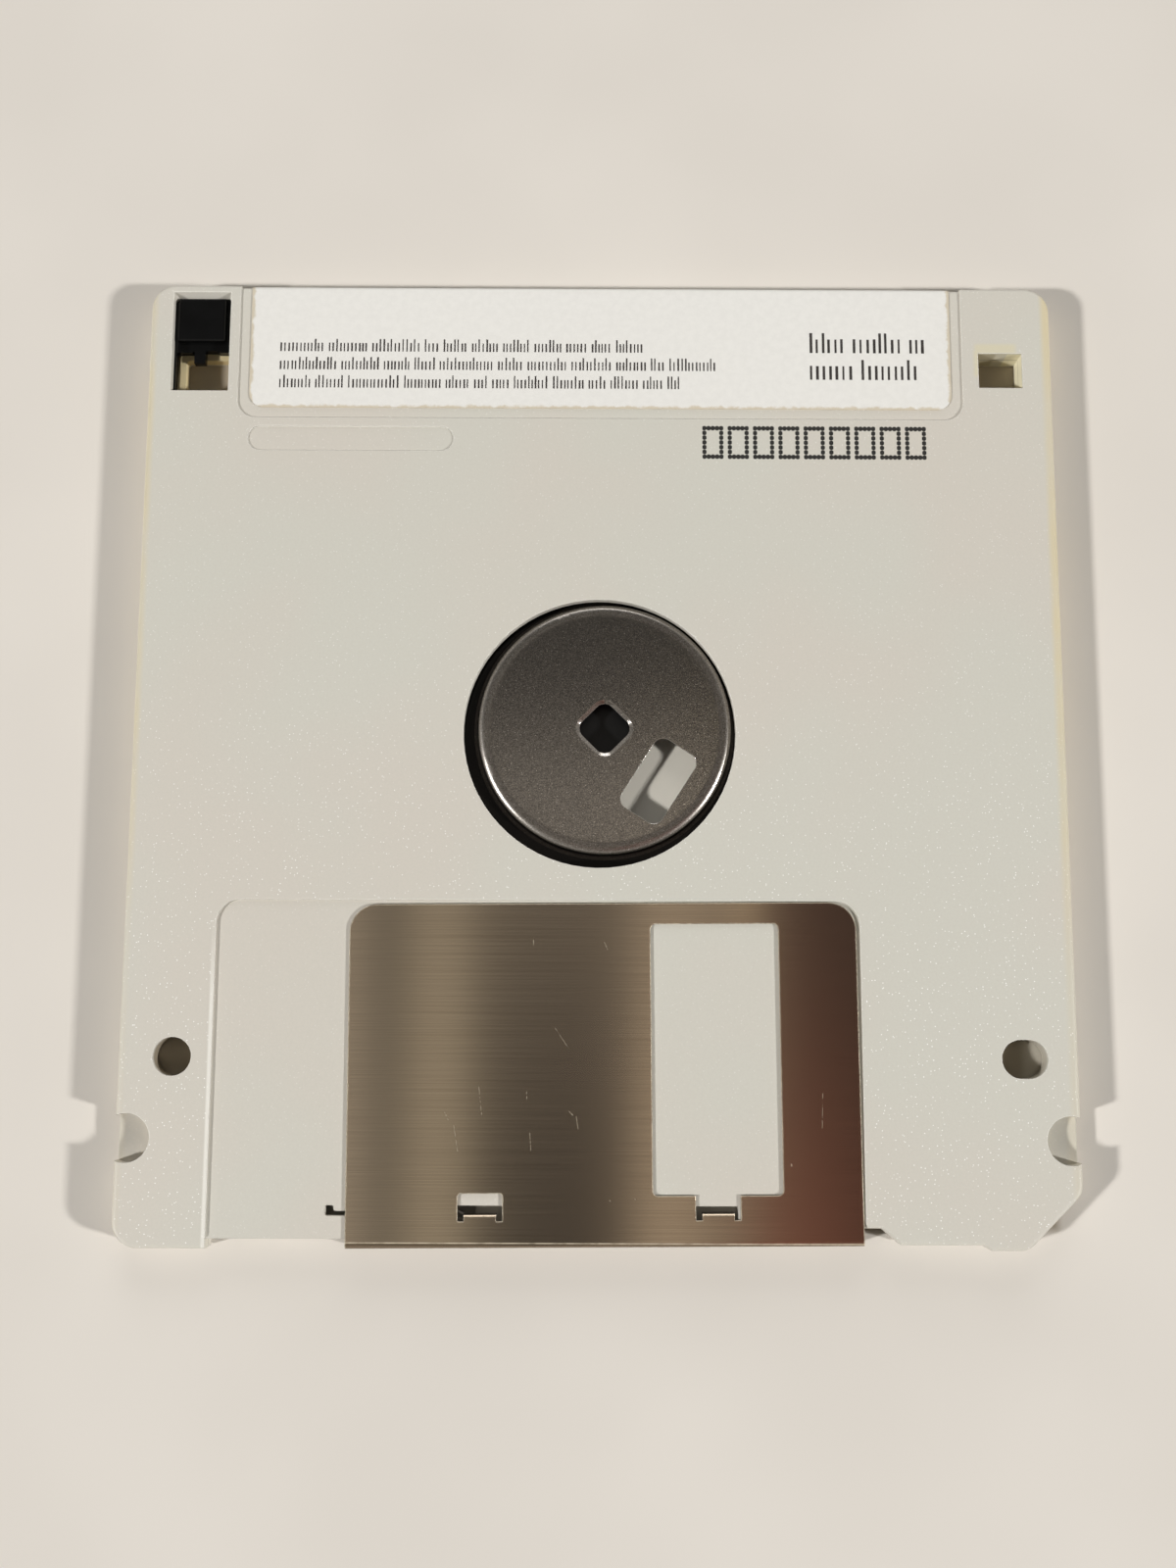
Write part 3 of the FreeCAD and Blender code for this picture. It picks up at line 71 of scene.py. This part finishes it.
class Nodes:
    """Builds a node tree in few words. A value is a number, a colour or another output."""

    # Sockets of a Mix node that mixes colours
    MIX_AMOUNT, MIX_FIRST, MIX_SECOND, MIX_RESULT = 0, 6, 7, 2

    def __init__(self, tree, coordinate):
        self.tree = tree
        self.place = self.add("ShaderNodeTexCoord").outputs[coordinate]
        self.x, self.y, self.z = self.split(self.place)

    def add(self, kind):
        return self.tree.nodes.new(kind)

    def put(self, socket, value):
        if hasattr(value, "links"):
            self.tree.links.new(value, socket)
        else:
            socket.default_value = value

    def split(self, vector):
        node = self.add("ShaderNodeSeparateXYZ")
        self.put(node.inputs[0], vector)
        return node.outputs

    def join(self, x, y, z):
        node = self.add("ShaderNodeCombineXYZ")
        for socket, value in zip(node.inputs, (x, y, z)):
            self.put(socket, value)
        return node.outputs[0]

    def math(self, operation, first, second=0.0, third=0.0):
        node = self.add("ShaderNodeMath")
        node.operation = operation
        for socket, value in zip(node.inputs, (first, second, third)):
            self.put(socket, value)
        return node.outputs[0]

    def times(self, *values):
        product = values[0]
        for value in values[1:]:
            product = self.math("MULTIPLY", product, value)
        return product

    def either(self, *values):
        highest = values[0]
        for value in values[1:]:
            highest = self.math("MAXIMUM", highest, value)
        return highest

    def length(self, x, y):
        """The length of a flat vector."""
        return self.math("SQRT", self.math("ADD", self.times(x, x), self.times(y, y)))

    def from_axis(self, centre):
        """The distance from an upright line through centre, which is (x, y) in mm."""
        return self.length(self.math("SUBTRACT", self.x, centre[0] * MM),
                           self.math("SUBTRACT", self.y, centre[1] * MM))

    def noise(self, scale, detail, roughness=0.5, place=None):
        node = self.add("ShaderNodeTexNoise")
        node.inputs["Scale"].default_value = scale
        node.inputs["Detail"].default_value = detail
        node.inputs["Roughness"].default_value = roughness
        self.put(node.inputs["Vector"], self.place if place is None else place)
        return node.outputs["Fac"]

    def cells(self, scale):
        """The distance from the middle of the nearest of many small cells."""
        node = self.add("ShaderNodeTexVoronoi")
        node.inputs["Scale"].default_value = scale
        self.put(node.inputs["Vector"], self.place)
        return node.outputs["Distance"]

    def fade(self, value, start, end, low=0.0, high=1.0):
        """low up to start, high from end on, and smooth between them."""
        node = self.add("ShaderNodeMapRange")
        node.interpolation_type = "SMOOTHSTEP"
        for socket, given in zip(node.inputs, (value, start, end, low, high)):
            self.put(socket, given)
        return node.outputs[0]

    def fade_mm(self, value, start, end, low=0.0, high=1.0):
        """The same for a place or distance, with start and end in mm."""
        return self.fade(value, start * MM, end * MM, low, high)

    def within(self, value, low, high, soft):
        """1 between low and high, 0 outside, and soft at both ends."""
        return self.times(self.fade(value, low - soft, low + soft),
                          self.fade(value, high + soft, high - soft))

    def zone(self, *spans):
        """1 where every value is within its span: each (value, low, high, soft), in mm."""
        return self.times(*[self.within(value, low * MM, high * MM, soft * MM)
                            for value, low, high, soft in spans])

    def over(self, height):
        """1 above a height in mm, and 0 below it."""
        return self.math("GREATER_THAN", self.z, height * MM)

    def mix(self, amount, first, second):
        node = self.add("ShaderNodeMix")
        node.data_type = "RGBA"
        self.put(node.inputs[self.MIX_AMOUNT], amount)
        self.put(node.inputs[self.MIX_FIRST], first)
        self.put(node.inputs[self.MIX_SECOND], second)
        return node.outputs[self.MIX_RESULT]

    def ramp(self, value, low, high, stops):
        """Colours by value, from the (value, colour) pairs in stops."""
        node = self.add("ShaderNodeValToRGB")
        node.color_ramp.interpolation = "EASE"
        elements = node.color_ramp.elements
        while len(elements) < len(stops):
            elements.new(0.5)
        for element, (place, colour) in zip(elements, stops):
            element.position = (place - low) / (high - low)
            element.color = colour
        span = self.math("MULTIPLY_ADD", value, 1 / (high - low), -low / (high - low))
        self.put(node.inputs["Fac"], span)
        return node.outputs["Color"]


class Finish(Nodes):
    """A material, with its principled shader."""

    def __init__(self, name):
        self.material = bpy.data.materials.new(name)
        self.material.use_nodes = True
        tree = self.material.node_tree
        tree.nodes.clear()
        super().__init__(tree, "Object")
        self.shader = self.add("ShaderNodeBsdfPrincipled")
        output = self.add("ShaderNodeOutputMaterial")
        self.put(output.inputs["Surface"], self.shader.outputs["BSDF"])

    def set(self, **values):
        for name, value in values.items():
            self.put(self.shader.inputs[name.replace("_", " ")], value)

    def set_gloss(self, level):
        self.shader.inputs["Specular IOR Level"].default_value = level

    def bump(self, height, distance, strength, normal=None):
        """A normal with the height in relief, over normal if that is given."""
        node = self.add("ShaderNodeBump")
        node.inputs["Strength"].default_value = strength
        node.inputs["Distance"].default_value = distance
        self.put(node.inputs["Height"], height)
        if normal is not None:
            self.put(node.inputs["Normal"], normal)
        return node.outputs["Normal"]

    def worn_edges(self, radius):
        """A normal that rounds the sharp edges, as handling does."""
        node = self.add("ShaderNodeBevel")
        node.samples = 4
        node.inputs["Radius"].default_value = radius
        return node.outputs["Normal"]

    def on_edges(self, rounded):
        """1 where the rounded normal leaves the surface's own: on a rounded edge, where painted
        highlights go.
        """
        own = self.add("ShaderNodeNewGeometry").outputs["Normal"]
        node = self.add("ShaderNodeVectorMath")
        node.operation = "DOT_PRODUCT"
        self.put(node.inputs[0], own)
        self.put(node.inputs[1], rounded)
        agree, part = 0.998, 0.95
        return self.fade(node.outputs["Value"], agree, part)

    def scratch(self, start, end, width):
        """1 on a straight scratch from start to end, both (x, y), all in mm."""
        (start_x, start_y), (end_x, end_y) = [(x * MM, y * MM) for x, y in (start, end)]
        width = width * MM
        run_x, run_y = end_x - start_x, end_y - start_y
        length = math.hypot(run_x, run_y)
        along_x, along_y = run_x / length, run_y / length
        u = self.math("SUBTRACT", self.x, start_x)
        v = self.math("SUBTRACT", self.y, start_y)
        far = self.math("ADD", self.times(u, along_x), self.times(v, along_y))
        off = self.math("SUBTRACT", self.times(v, along_x), self.times(u, along_y))
        beside = self.fade(self.math("ABSOLUTE", off), width, width / 3)
        return self.times(beside, self.within(far, 0, length, width))


def dress(node, material):
    """Give a CAD node its material and smooth it over its shallow facets."""
    shallow = math.radians(30)
    piece = NODES[node]
    piece.data.materials.clear()
    piece.data.materials.append(material)
    for polygon in piece.data.polygons:
        polygon.use_smooth = True
    with bpy.context.temp_override(object=piece, selected_objects=[piece], active_object=piece):
        bpy.ops.object.shade_smooth_by_angle(angle=shallow)


# Materials

def dotted_boxes(m):
    """A row of nine plain boxes of printed dots, where the case carries a dotted print."""
    left, low = 10.1 * MM, 29.0 * MM
    across, up, radius = 0.419 * MM, 0.49 * MM, 0.235 * MM
    box_columns, box_rows, step_columns, boxes = 5, 7, 6, 9
    u = m.math("MULTIPLY_ADD", m.x, 1 / across, -left / across)
    v = m.math("MULTIPLY_ADD", m.y, 1 / up, -low / up)
    column, row = m.math("FLOOR", u), m.math("FLOOR", v)
    in_box = m.math("MODULO", column, step_columns)
    off_x = m.times(m.math("SUBTRACT", m.math("FRACT", u), 0.5), across)
    off_y = m.times(m.math("SUBTRACT", m.math("FRACT", v), 0.5), up)
    dot = m.fade(m.length(off_x, off_y), radius * 1.15, radius * 0.9)

    def equals(value, wanted, tolerance=0.1):
        return m.math("COMPARE", value, wanted, tolerance)

    edge = m.either(equals(in_box, 0), equals(in_box, box_columns - 1),
                    equals(row, 0), equals(row, box_rows - 1))
    inside = m.times(m.math("LESS_THAN", in_box, box_columns - 0.5),
                     m.math("GREATER_THAN", column, -0.5),
                     m.math("LESS_THAN", column, boxes * step_columns - 0.5),
                     m.math("GREATER_THAN", row, -0.5),
                     m.math("LESS_THAN", row, box_rows - 0.5),
                     m.over(OVER_RECESSES))
    return m.times(dot, edge, inside)


def round_zone(m, centre, radius, low, high):
    """1 inside an upright round zone between two heights, all in mm."""
    return m.times(m.fade_mm(m.from_axis(centre), radius, radius - 0.2),
                   m.zone((m.z, low, high, 0.3)))


def density_zone(m, low_x, high_x, soft_x):
    """1 between two places across the density hole, over its length and depth."""
    return m.zone((m.x, low_x, high_x, soft_x), (m.y, 36.5, 40.8, 0.1), (m.z, 0.25, 3.1, 0.1))


def painted_shade_in_holes(m):
    """Painted shade in the locating holes and the density hole, where they lie unlit."""
    right_half = m.times(round_zone(m, RIGHT_HOLE, 2.7, 0.8, 2.8),
                         m.fade_mm(m.x, 40.9, 39.9, 0.55, 1.0))
    return m.either(m.times(round_zone(m, LEFT_HOLE, 2.3, 0.8, 2.8), 0.88),
                    m.times(right_half, 0.85),
                    m.times(density_zone(m, 37.0, 39.6, 0.2), 0.8))


def make_case_plastic():
    """Warm grey spark-eroded plastic, yellowed at its sides and worn at its edges."""
    m = Finish("case_plastic")
    hue = m.fade(m.noise(40, 2), 0.35, 0.65)
    body = m.mix(hue, srgb(208, 201, 189), srgb(206, 203, 191))
    mottle = m.fade(m.noise(4500, 2, 0.6), 0.3, 0.75, 0.0, 0.35)
    body = m.mix(mottle, body, srgb(199, 194, 182))

    # Painted sparkle glints, most of them at the shutter's end where the lamps glint, and few
    # in the recesses
    near = m.fade_mm(m.y, 25, -25, 0.35, 0.95)
    patchy = m.fade(m.noise(250, 2), 0.3, 0.6, 0.5, 1.0)
    raised = m.fade_mm(m.z, 3.0, 3.2, 0.2, 1.0)
    painted_sparkle = m.times(m.fade(m.cells(2400), 0.18, 0.08), near, patchy, raised)
    body = m.mix(painted_sparkle, body, srgb(254, 252, 248))

    # Painted light on the inner floor seen through the hub's slot, painted shade in the insides
    # of the holes, and a painted highlight on the lit wall of the density hole
    painted_light_hub_floor = round_zone(m, HUB_HOLE_CENTRE, 13.0, 0.4, 1.5)
    body = m.mix(painted_light_hub_floor, body, srgb(236, 230, 216))
    body = m.mix(painted_shade_in_holes(m), body, srgb(146, 134, 113))
    body = m.mix(density_zone(m, 40.7, 42.2, 0.1), body, srgb(236, 228, 198))

    # Yellowing: along both sides, in a collar in the write protect hole, and on two sides
    # of the density hole
    side = m.math("ABSOLUTE", m.x)
    right = m.math("GREATER_THAN", m.x, 0.0)
    band = m.either(m.times(m.fade_mm(side, 44.1, 44.75), 0.7),
                    m.times(m.fade_mm(side, 43.8, 44.5), right))
    blotch = m.fade(m.noise(120, 3), 0.25, 0.6, 0.45, 0.9)
    far = m.fade_mm(m.y, -25, 5, 0.25, 1.0)
    body = m.mix(m.times(band, blotch, far), body, srgb(213, 199, 163))
    collar = m.zone((m.x, -43.0, -36.9, 0.1), (m.y, 34.5, 41.2, 0.1), (m.z, 0.25, 1.5, 0.1))
    body = m.mix(m.times(collar, 0.85), body, srgb(222, 202, 152))
    behind = m.zone((m.x, 37.4, 41.5, 0.3), (m.y, 40.1, 41.1, 0.25))
    beside = m.zone((m.x, 37.3, 37.8, 0.2), (m.y, 37.7, 40.5, 0.3))
    body = m.mix(m.times(m.either(behind, beside), 0.6), body, srgb(214, 204, 168))

    # The dark line where the shells meet, on upright faces only
    facing = m.split(m.add("ShaderNodeNewGeometry").outputs["True Normal"])[2]
    upright = m.fade(m.math("ABSOLUTE", facing), 0.5, 0.2)
    seam_off = m.math("ABSOLUTE", m.math("SUBTRACT", m.z, PARTING_LINE * MM))
    seam = m.times(m.fade_mm(seam_off, 0.05, 0.02), upright, 0.75)
    body = m.mix(seam, body, srgb(92, 84, 70))

    # Painted highlights on the edges, and on the lip at the left of the shutter's bay
    rounded = m.worn_edges(0.15 * MM)
    painted_edge_highlight = m.times(m.on_edges(rounded), m.over(OVER_LABEL_RECESS), 0.9)
    body = m.mix(painted_edge_highlight, body, srgb(242, 238, 227))
    painted_lip_highlight = m.times(m.zone((m.x, -36.65, -36.25, 0.1)),
                  m.fade_mm(m.y, -15.6, -26.0),
                  m.over(OVER_SHUTTER_BAY))
    body = m.mix(m.times(painted_lip_highlight, 0.75), body, srgb(238, 234, 224))

    ink = m.times(dotted_boxes(m), 0.97)
    body = m.mix(ink, body, srgb(9, 8, 8))
    grain = m.bump(m.noise(7000, 2, 0.6), 0.01 * MM, 0.5, rounded)
    m.set(Base_Color=body, Roughness=0.48, Normal=grain)
    m.set_gloss(0.4)
    return m.material


# Scratches on the shutter: start, end and width in mm
SHUTTER_SCRATCHES = [
    ((-13.5, -35.75), (-13.1, -38.15), 0.035), ((-11.2, -32.2), (-10.9, -34.8), 0.03),
    ((-6.75, -32.5), (-6.7, -33.5), 0.03), ((-6.4, -36.3), (-6.3, -38.0), 0.035),
    ((-4.2, -26.6), (-2.8, -28.7), 0.025), ((-2.8, -34.4), (-2.4, -34.8), 0.05),
    ((-2.1, -34.8), (-1.9, -36.1), 0.03), ((1.0, -42.45), (1.1, -42.6), 0.06),
    ((3.2, -42.25), (3.5, -42.5), 0.04), ((17.9, -39.1), (17.95, -39.4), 0.06),
    ((20.95, -32.7), (20.85, -35.9), 0.025), ((-6.2, -18.5), (-6.2, -19.2), 0.035),
    ((0.5, -18.7), (0.8, -19.4), 0.03), ((-14.4, -34.5), (-14.0, -35.3), 0.03),
]


def make_shutter_steel():
    """Stainless sheet, brushed along its width and scratched, with painted glints on its edges
    and painted shade on its bend.
    """
    m = Finish("shutter_steel")
    down = m.math("ADD", m.y, m.z)

    def streaks(along_rate, across_rate, detail):
        place = m.join(m.times(m.x, along_rate), m.times(down, across_rate), 0.0)
        return m.noise(1.0, detail, 0.6, place)

    fine = streaks(50, 13000, 2)
    broad = streaks(14, 3000, 2)
    tone = m.mix(m.fade(fine, 0.25, 0.75), srgb(184, 167, 145), srgb(203, 187, 165))
    tone = m.mix(m.fade(broad, 0.35, 0.7, 0.0, 0.05), tone, srgb(180, 162, 140))

    # The front bend has painted shade under a painted glint on its ridge, and what lies below
    # the top face has painted shade
    painted_bend_shade = m.fade_mm(m.y, -46.42, -46.55)
    tone = m.mix(m.times(painted_bend_shade, 0.75), tone, srgb(120, 104, 86))
    painted_ridge_glint = m.times(m.zone((m.y, -46.46, -46.36, 0.05)),
                    m.fade(m.noise(900, 2), 0.3, 0.6, 0.5, 0.9))
    below = m.times(m.zone((m.z, 0.6, 3.18, 0.04)),
                    m.math("GREATER_THAN", m.y, -46.3 * MM))
    tone = m.mix(m.times(below, 0.9), tone, srgb(62, 54, 45))

    # Scratches, and painted glints on the edges, which are bright and less like a mirror, on
    # the hub side only
    marks = m.either(*[m.scratch(*scratch) for scratch in SHUTTER_SCRATCHES])
    on_top = m.over(OVER_SHUTTER_BAY)
    marks = m.times(marks, m.fade(m.noise(3000, 1), 0.4, 0.6, 0.1, 0.8), on_top)
    rounded = m.worn_edges(0.16 * MM)
    glint_breakup = m.fade(m.noise(5000, 1), 0.35, 0.6, 0.3, 1.0)
    edges = m.times(m.on_edges(rounded), on_top, glint_breakup)
    bright = m.either(marks, edges, m.times(painted_ridge_glint, 0.6))
    tone = m.mix(bright, tone, srgb(252, 240, 214))
    rough = m.math("MULTIPLY_ADD", bright, 0.42, 0.17)
    metal = m.math("MULTIPLY_ADD", m.either(edges, m.times(painted_ridge_glint, 0.75)), -0.75, 1.0)
    m.set(Base_Color=tone, Metallic=metal, Roughness=rough, Anisotropic=1.0)

    tangent = m.add("ShaderNodeTangent")
    tangent.direction_type = "RADIAL"
    tangent.axis = "X"
    m.set(Tangent=tangent.outputs[0])
    m.set(Normal=m.bump(fine, 0.0012 * MM, 0.03, rounded))
    return m.material


def make_hub_steel():
    """Grainy stamped steel with painted highlights on its edges, duller near its rim and with
    painted shade below its face.
    """
    m = Finish("hub_steel")
    grain = m.noise(8500, 3, 0.7)
    tone = m.mix(m.fade(grain, 0.25, 0.75), srgb(108, 104, 99), srgb(176, 170, 163))
    fleck = m.fade(m.cells(3200), 0.2, 0.06, 0.0, 0.8)
    tone = m.mix(fleck, tone, srgb(232, 228, 222))
    rounded = m.worn_edges(0.12 * MM)
    # painted highlight on the hub's rounded edges
    bright = m.times(m.on_edges(rounded), 0.7)
    tone = m.mix(bright, tone, srgb(226, 222, 216))
    # painted shade on the hub below its face
    tone = m.mix(m.fade_mm(m.z, 2.75, 2.4, 0.0, 0.85), tone, srgb(38, 34, 31))
    rough = m.fade_mm(m.from_axis(HUB_CENTRE), 10.95, 11.3, 0.11, 0.3)
    m.set(Base_Color=tone, Metallic=1.0, Roughness=rough)
    m.set(Normal=m.bump(grain, 0.008 * MM, 0.6, rounded))
    return m.material


def make_label_paper():
    """White paper with yellowed, ragged edges."""
    m = Finish("label_paper")
    fibre = m.noise(1500, 3, 0.6)
    tone = m.mix(m.fade(fibre, 0.3, 0.7), srgb(228, 225, 218), srgb(232, 229, 222))
    wander = m.times(m.math("SUBTRACT", m.noise(900, 3, 0.6), 0.5), 0.9 * MM)
    side = m.math("ADD", m.math("ABSOLUTE", m.x), wander)
    front = m.math("ADD", m.y, wander)
    front_above = m.times(m.fade_mm(front, 34.55, 34.25), m.over(PARTING_LINE))
    front_below = m.fade_mm(front, -6.7, -7.0)
    edge = m.either(m.fade_mm(side, 34.55, 34.85), front_above, front_below)
    tone = m.mix(m.times(edge, 0.65), tone, srgb(192, 174, 138))
    m.set(Base_Color=tone, Roughness=0.6)
    m.set(Normal=m.bump(fibre, 0.01 * MM, 0.4))
    return m.material


def make_plain(name, darker, lighter, roughness, scale=400, metallic=0.0, grain=0.01,
               gloss=0.5):
    """A finish that wanders between two 0-255 colours, with a fine grain in mm of relief."""
    m = Finish(name)
    m.set_gloss(gloss)
    field = m.fade(m.noise(scale, 3), 0.3, 0.7)
    m.set(Base_Color=m.mix(field, srgb(*darker), srgb(*lighter)))
    m.set(Roughness=roughness, Metallic=metallic)
    m.set(Normal=m.bump(m.noise(scale * 5, 2), grain * MM, 0.4))
    return m.material


case_plastic = make_case_plastic()
dress("lower_shell", case_plastic)
dress("upper_shell", case_plastic)
dress("shutter", make_shutter_steel())
dress("hub", make_hub_steel())
dress("shutter_spring",
      make_plain("spring_steel", (150, 148, 145), (175, 173, 170), 0.3, metallic=1.0))
dress("write_protect_slide",
      make_plain("slide_plastic", (9, 9, 9), (13, 13, 13), 0.2, gloss=0.25))
dress("magnetic_film", make_plain("film", (15, 13, 11), (20, 17, 14), 0.25, gloss=0.2))
dress("hub_bond_ring", make_plain("bond_film", (200, 196, 185), (210, 206, 195), 0.5))
cloth = make_plain("liner_cloth", (225, 224, 220), (238, 237, 233), 0.9, 1500, grain=0.05)
dress("upper_liner", cloth)
dress("lower_liner", cloth)
dress("liner_lifter", make_plain("lifter_plastic", (190, 190, 185), (205, 205, 200), 0.25))
dress("centre_wear_pad", make_plain("pad_plastic", (9, 9, 9), (15, 15, 15), 0.4))
dress("label", make_label_paper())


# Print on the label: rows of plain upright strokes, which spell nothing

def add_strokes(name, rectangles, material, body, height):
    """Thin flat bars, each (left, low, right, high) in mm, lying at height."""
    thickness = 0.01 * MM
    vertices, faces = [], []
    for left, low, right, high in rectangles:
        first = len(vertices)
        for z in (height - thickness, height + thickness / 2):
            vertices += [(left * MM, low * MM, z), (right * MM, low * MM, z),
                         (right * MM, high * MM, z), (left * MM, high * MM, z)]
        below, above = range(first, first + 4), range(first + 4, first + 8)
        faces.append(tuple(reversed(below)))
        faces.append(tuple(above))
        for i in range(4):
            j = (i + 1) % 4
            faces.append((below[i], below[j], above[j], above[i]))
    mesh = bpy.data.meshes.new(name)
    mesh.from_pydata(vertices, [], faces)
    mesh.materials.append(material)
    piece = add_object(name, mesh)
    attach(piece, body)


rng = random.Random(35)
STROKE_HEIGHTS = (0.68, 0.68, 0.7, 1.0)     # shares of the row's height


def stroke_row(low, start, end, height, stroke, step, gap, word_strokes):
    """One row of words, each a run of upright strokes of a few heights, in mm."""
    bars = []
    x = start
    while x < end - stroke:
        for _ in range(rng.randint(*word_strokes)):
            if x > end - stroke:
                break
            top = height * rng.choice(STROKE_HEIGHTS)
            bars.append((x, low, x + stroke * rng.uniform(0.8, 1.2), low + top))
            x += step * rng.uniform(0.85, 1.15)
        x += gap
    return bars


label_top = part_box("label")[1][2]
small = dict(height=1.3, stroke=0.15, step=0.36, gap=0.34, word_strokes=(4, 16))
large = dict(height=2.1, stroke=0.24, step=0.62, gap=0.55, word_strokes=(4, 9))
strokes = []
for low, end in ((40.05, 4.2), (38.15, 11.6), (36.25, 8.0)):
    strokes += stroke_row(low, -32.0, end, **small)
for low in (40.1, 37.3):
    strokes += stroke_row(low, 20.9, 32.4, **large)
ink = make_plain("label_ink", (40, 35, 32), (54, 48, 45), 0.55, 900)
add_strokes("label_print", strokes, ink, "case", label_top)


# Camera, as the photograph was taken: close above the disk, a little to its front

camera_data = bpy.data.cameras.new("camera")
camera_data.sensor_width = 36
camera_data.lens = 37.814
camera_data.clip_start = 0.01
camera_data.clip_end = 20
camera = add_object("camera", camera_data)
camera.location = (-1.5428 * MM, -26.876 * MM, 159.713 * MM)
camera.rotation_euler = (0.147946, -0.003343, 0.003613)
bpy.context.scene.camera = camera


# Floor, lamps and world, in metres

FLOOR_HALF = 3.0
LAMP_DISTANCE = 2.5


def make_floor():
    """A plain pale floor, with a painted shadow only under the case, where the through holes
    show it.
    """
    m = Finish("floor")
    tone = m.mix(m.fade(m.noise(30, 2), 0.3, 0.7), srgb(216, 209, 199), srgb(221, 214, 204))
    painted_shadow_under = m.zone((m.x, -43.5, 43.5, 0.5), (m.y, -45.5, 45.5, 0.5))
    tone = m.mix(m.times(painted_shadow_under, 0.9), tone, srgb(162, 150, 131))
    m.set(Base_Color=tone, Roughness=0.85)
    mesh = bpy.data.meshes.new("floor")
    corners = [(x * FLOOR_HALF, y * FLOOR_HALF, 0)
               for x, y in ((-1, -1), (1, -1), (1, 1), (-1, 1))]
    mesh.from_pydata(corners, [], [(0, 1, 2, 3)])
    mesh.materials.append(m.material)
    floor = add_object("floor", mesh)


def add_lamp(name, elevation, azimuth, strength, spread=0.07):
    """A square lamp that shines at the disk from that direction, in degrees.

    Its strength is the power that it would need at one metre, its spread its size there.
    """
    up, around = math.radians(elevation), math.radians(azimuth)
    place = Vector((math.cos(up) * math.cos(around), math.cos(up) * math.sin(around),
                    math.sin(up))) * LAMP_DISTANCE
    data = bpy.data.lights.new(name, "AREA")
    data.shape = "SQUARE"
    data.size = spread * LAMP_DISTANCE
    data.energy = strength * LAMP_DISTANCE ** 2
    lamp = add_object(name, data)
    lamp.location = place
    lamp.rotation_euler = (-place).to_track_quat("-Z", "Y").to_euler()


def light(red, green, blue):
    """A linear colour for the world, above 1 where it shines."""
    return (red, green, blue, 1)


# The ceiling's bands across the disk. Each place is x over height, within the ramp's ends.
BANDS_END = 0.4
BANDS = [
    (-0.3, light(0.30, 0.28, 0.25)), (-0.145, light(0.54, 0.5, 0.45)),
    (-0.118, light(0.125, 0.125, 0.117)), (-0.09, light(0.58, 0.535, 0.455)),
    (-0.077, light(0.5, 0.47, 0.4)), (-0.058, light(0.075, 0.07, 0.065)),
    (0.0, light(0.05, 0.045, 0.043)), (0.02, light(0.075, 0.068, 0.064)),
    (0.045, light(0.62, 0.54, 0.45)), (0.09, light(0.3, 0.26, 0.22)),
    (0.122, light(0.05, 0.042, 0.037)), (0.15, light(0.012, 0.01, 0.009)),
    (0.21, light(0.02, 0.018, 0.017)), (0.35, light(0.30, 0.28, 0.25)),
]


def make_world():
    """A low even light, and for the camera and for gloss a pale room with a dim ceiling."""
    world = bpy.data.worlds.new("world")
    world.use_nodes = True
    tree = world.node_tree
    tree.nodes.clear()
    w = Nodes(tree, "Generated")
    lowest_rise = 0.01
    rise = w.math("MAXIMUM", w.z, lowest_rise)
    across = w.math("DIVIDE", w.x, rise)
    along = w.math("DIVIDE", w.y, rise)
    ceiling = w.ramp(across, -BANDS_END, BANDS_END, BANDS)

    # A dark red patch for the shutter's right end, and a glow for the hub's front half
    red_patch = w.times(w.fade(across, 0.08, 0.12), w.fade(across, 0.19, 0.13, 0.45, 1.0),
                        w.fade(along, -0.02, -0.12))
    ceiling = w.mix(red_patch, ceiling, light(0.33, 0.137, 0.105))
    glow = w.times(w.within(along, 0.1, 0.16, 0.012), w.within(across, -0.1, 0.095, 0.015),
                   0.95)
    ceiling = w.mix(glow, ceiling, light(0.72, 0.665, 0.6))

    # A dim grey for the hub's back half, and a short shine above the shutter's opening
    behind = w.times(w.fade(along, 0.15, 0.18), w.fade(across, 0.1, 0.13, 1.0, 0.25))
    ceiling = w.mix(behind, ceiling, light(0.14, 0.133, 0.122))
    shine = w.times(w.within(along, 0.08, 0.2, 0.02), w.within(across, 0.094, 0.106, 0.004))
    ceiling = w.mix(shine, ceiling, light(1.7, 1.5, 1.12))

    room = w.mix(w.fade(w.z, 0.75, 0.35), ceiling, light(0.72, 0.7, 0.67))
    paths = w.add("ShaderNodeLightPath").outputs
    seen = w.either(paths["Is Camera Ray"], paths["Is Glossy Ray"],
                    paths["Is Transmission Ray"])
    even = light(0.05, 0.049, 0.047)
    background = w.add("ShaderNodeBackground")
    w.put(background.inputs["Color"], w.mix(seen, even, room))
    output = w.add("ShaderNodeOutputWorld")
    w.put(output.inputs["Surface"], background.outputs[0])
    bpy.context.scene.world = world


make_floor()
add_lamp("lamp_left", 34, 200, 8.1)
add_lamp("lamp_right", 30, -17, 7.6)
add_lamp("lamp_behind", 25, 90, 3.2, spread=0.6)
make_world()
bpy.context.scene.view_settings.view_transform = "Standard"
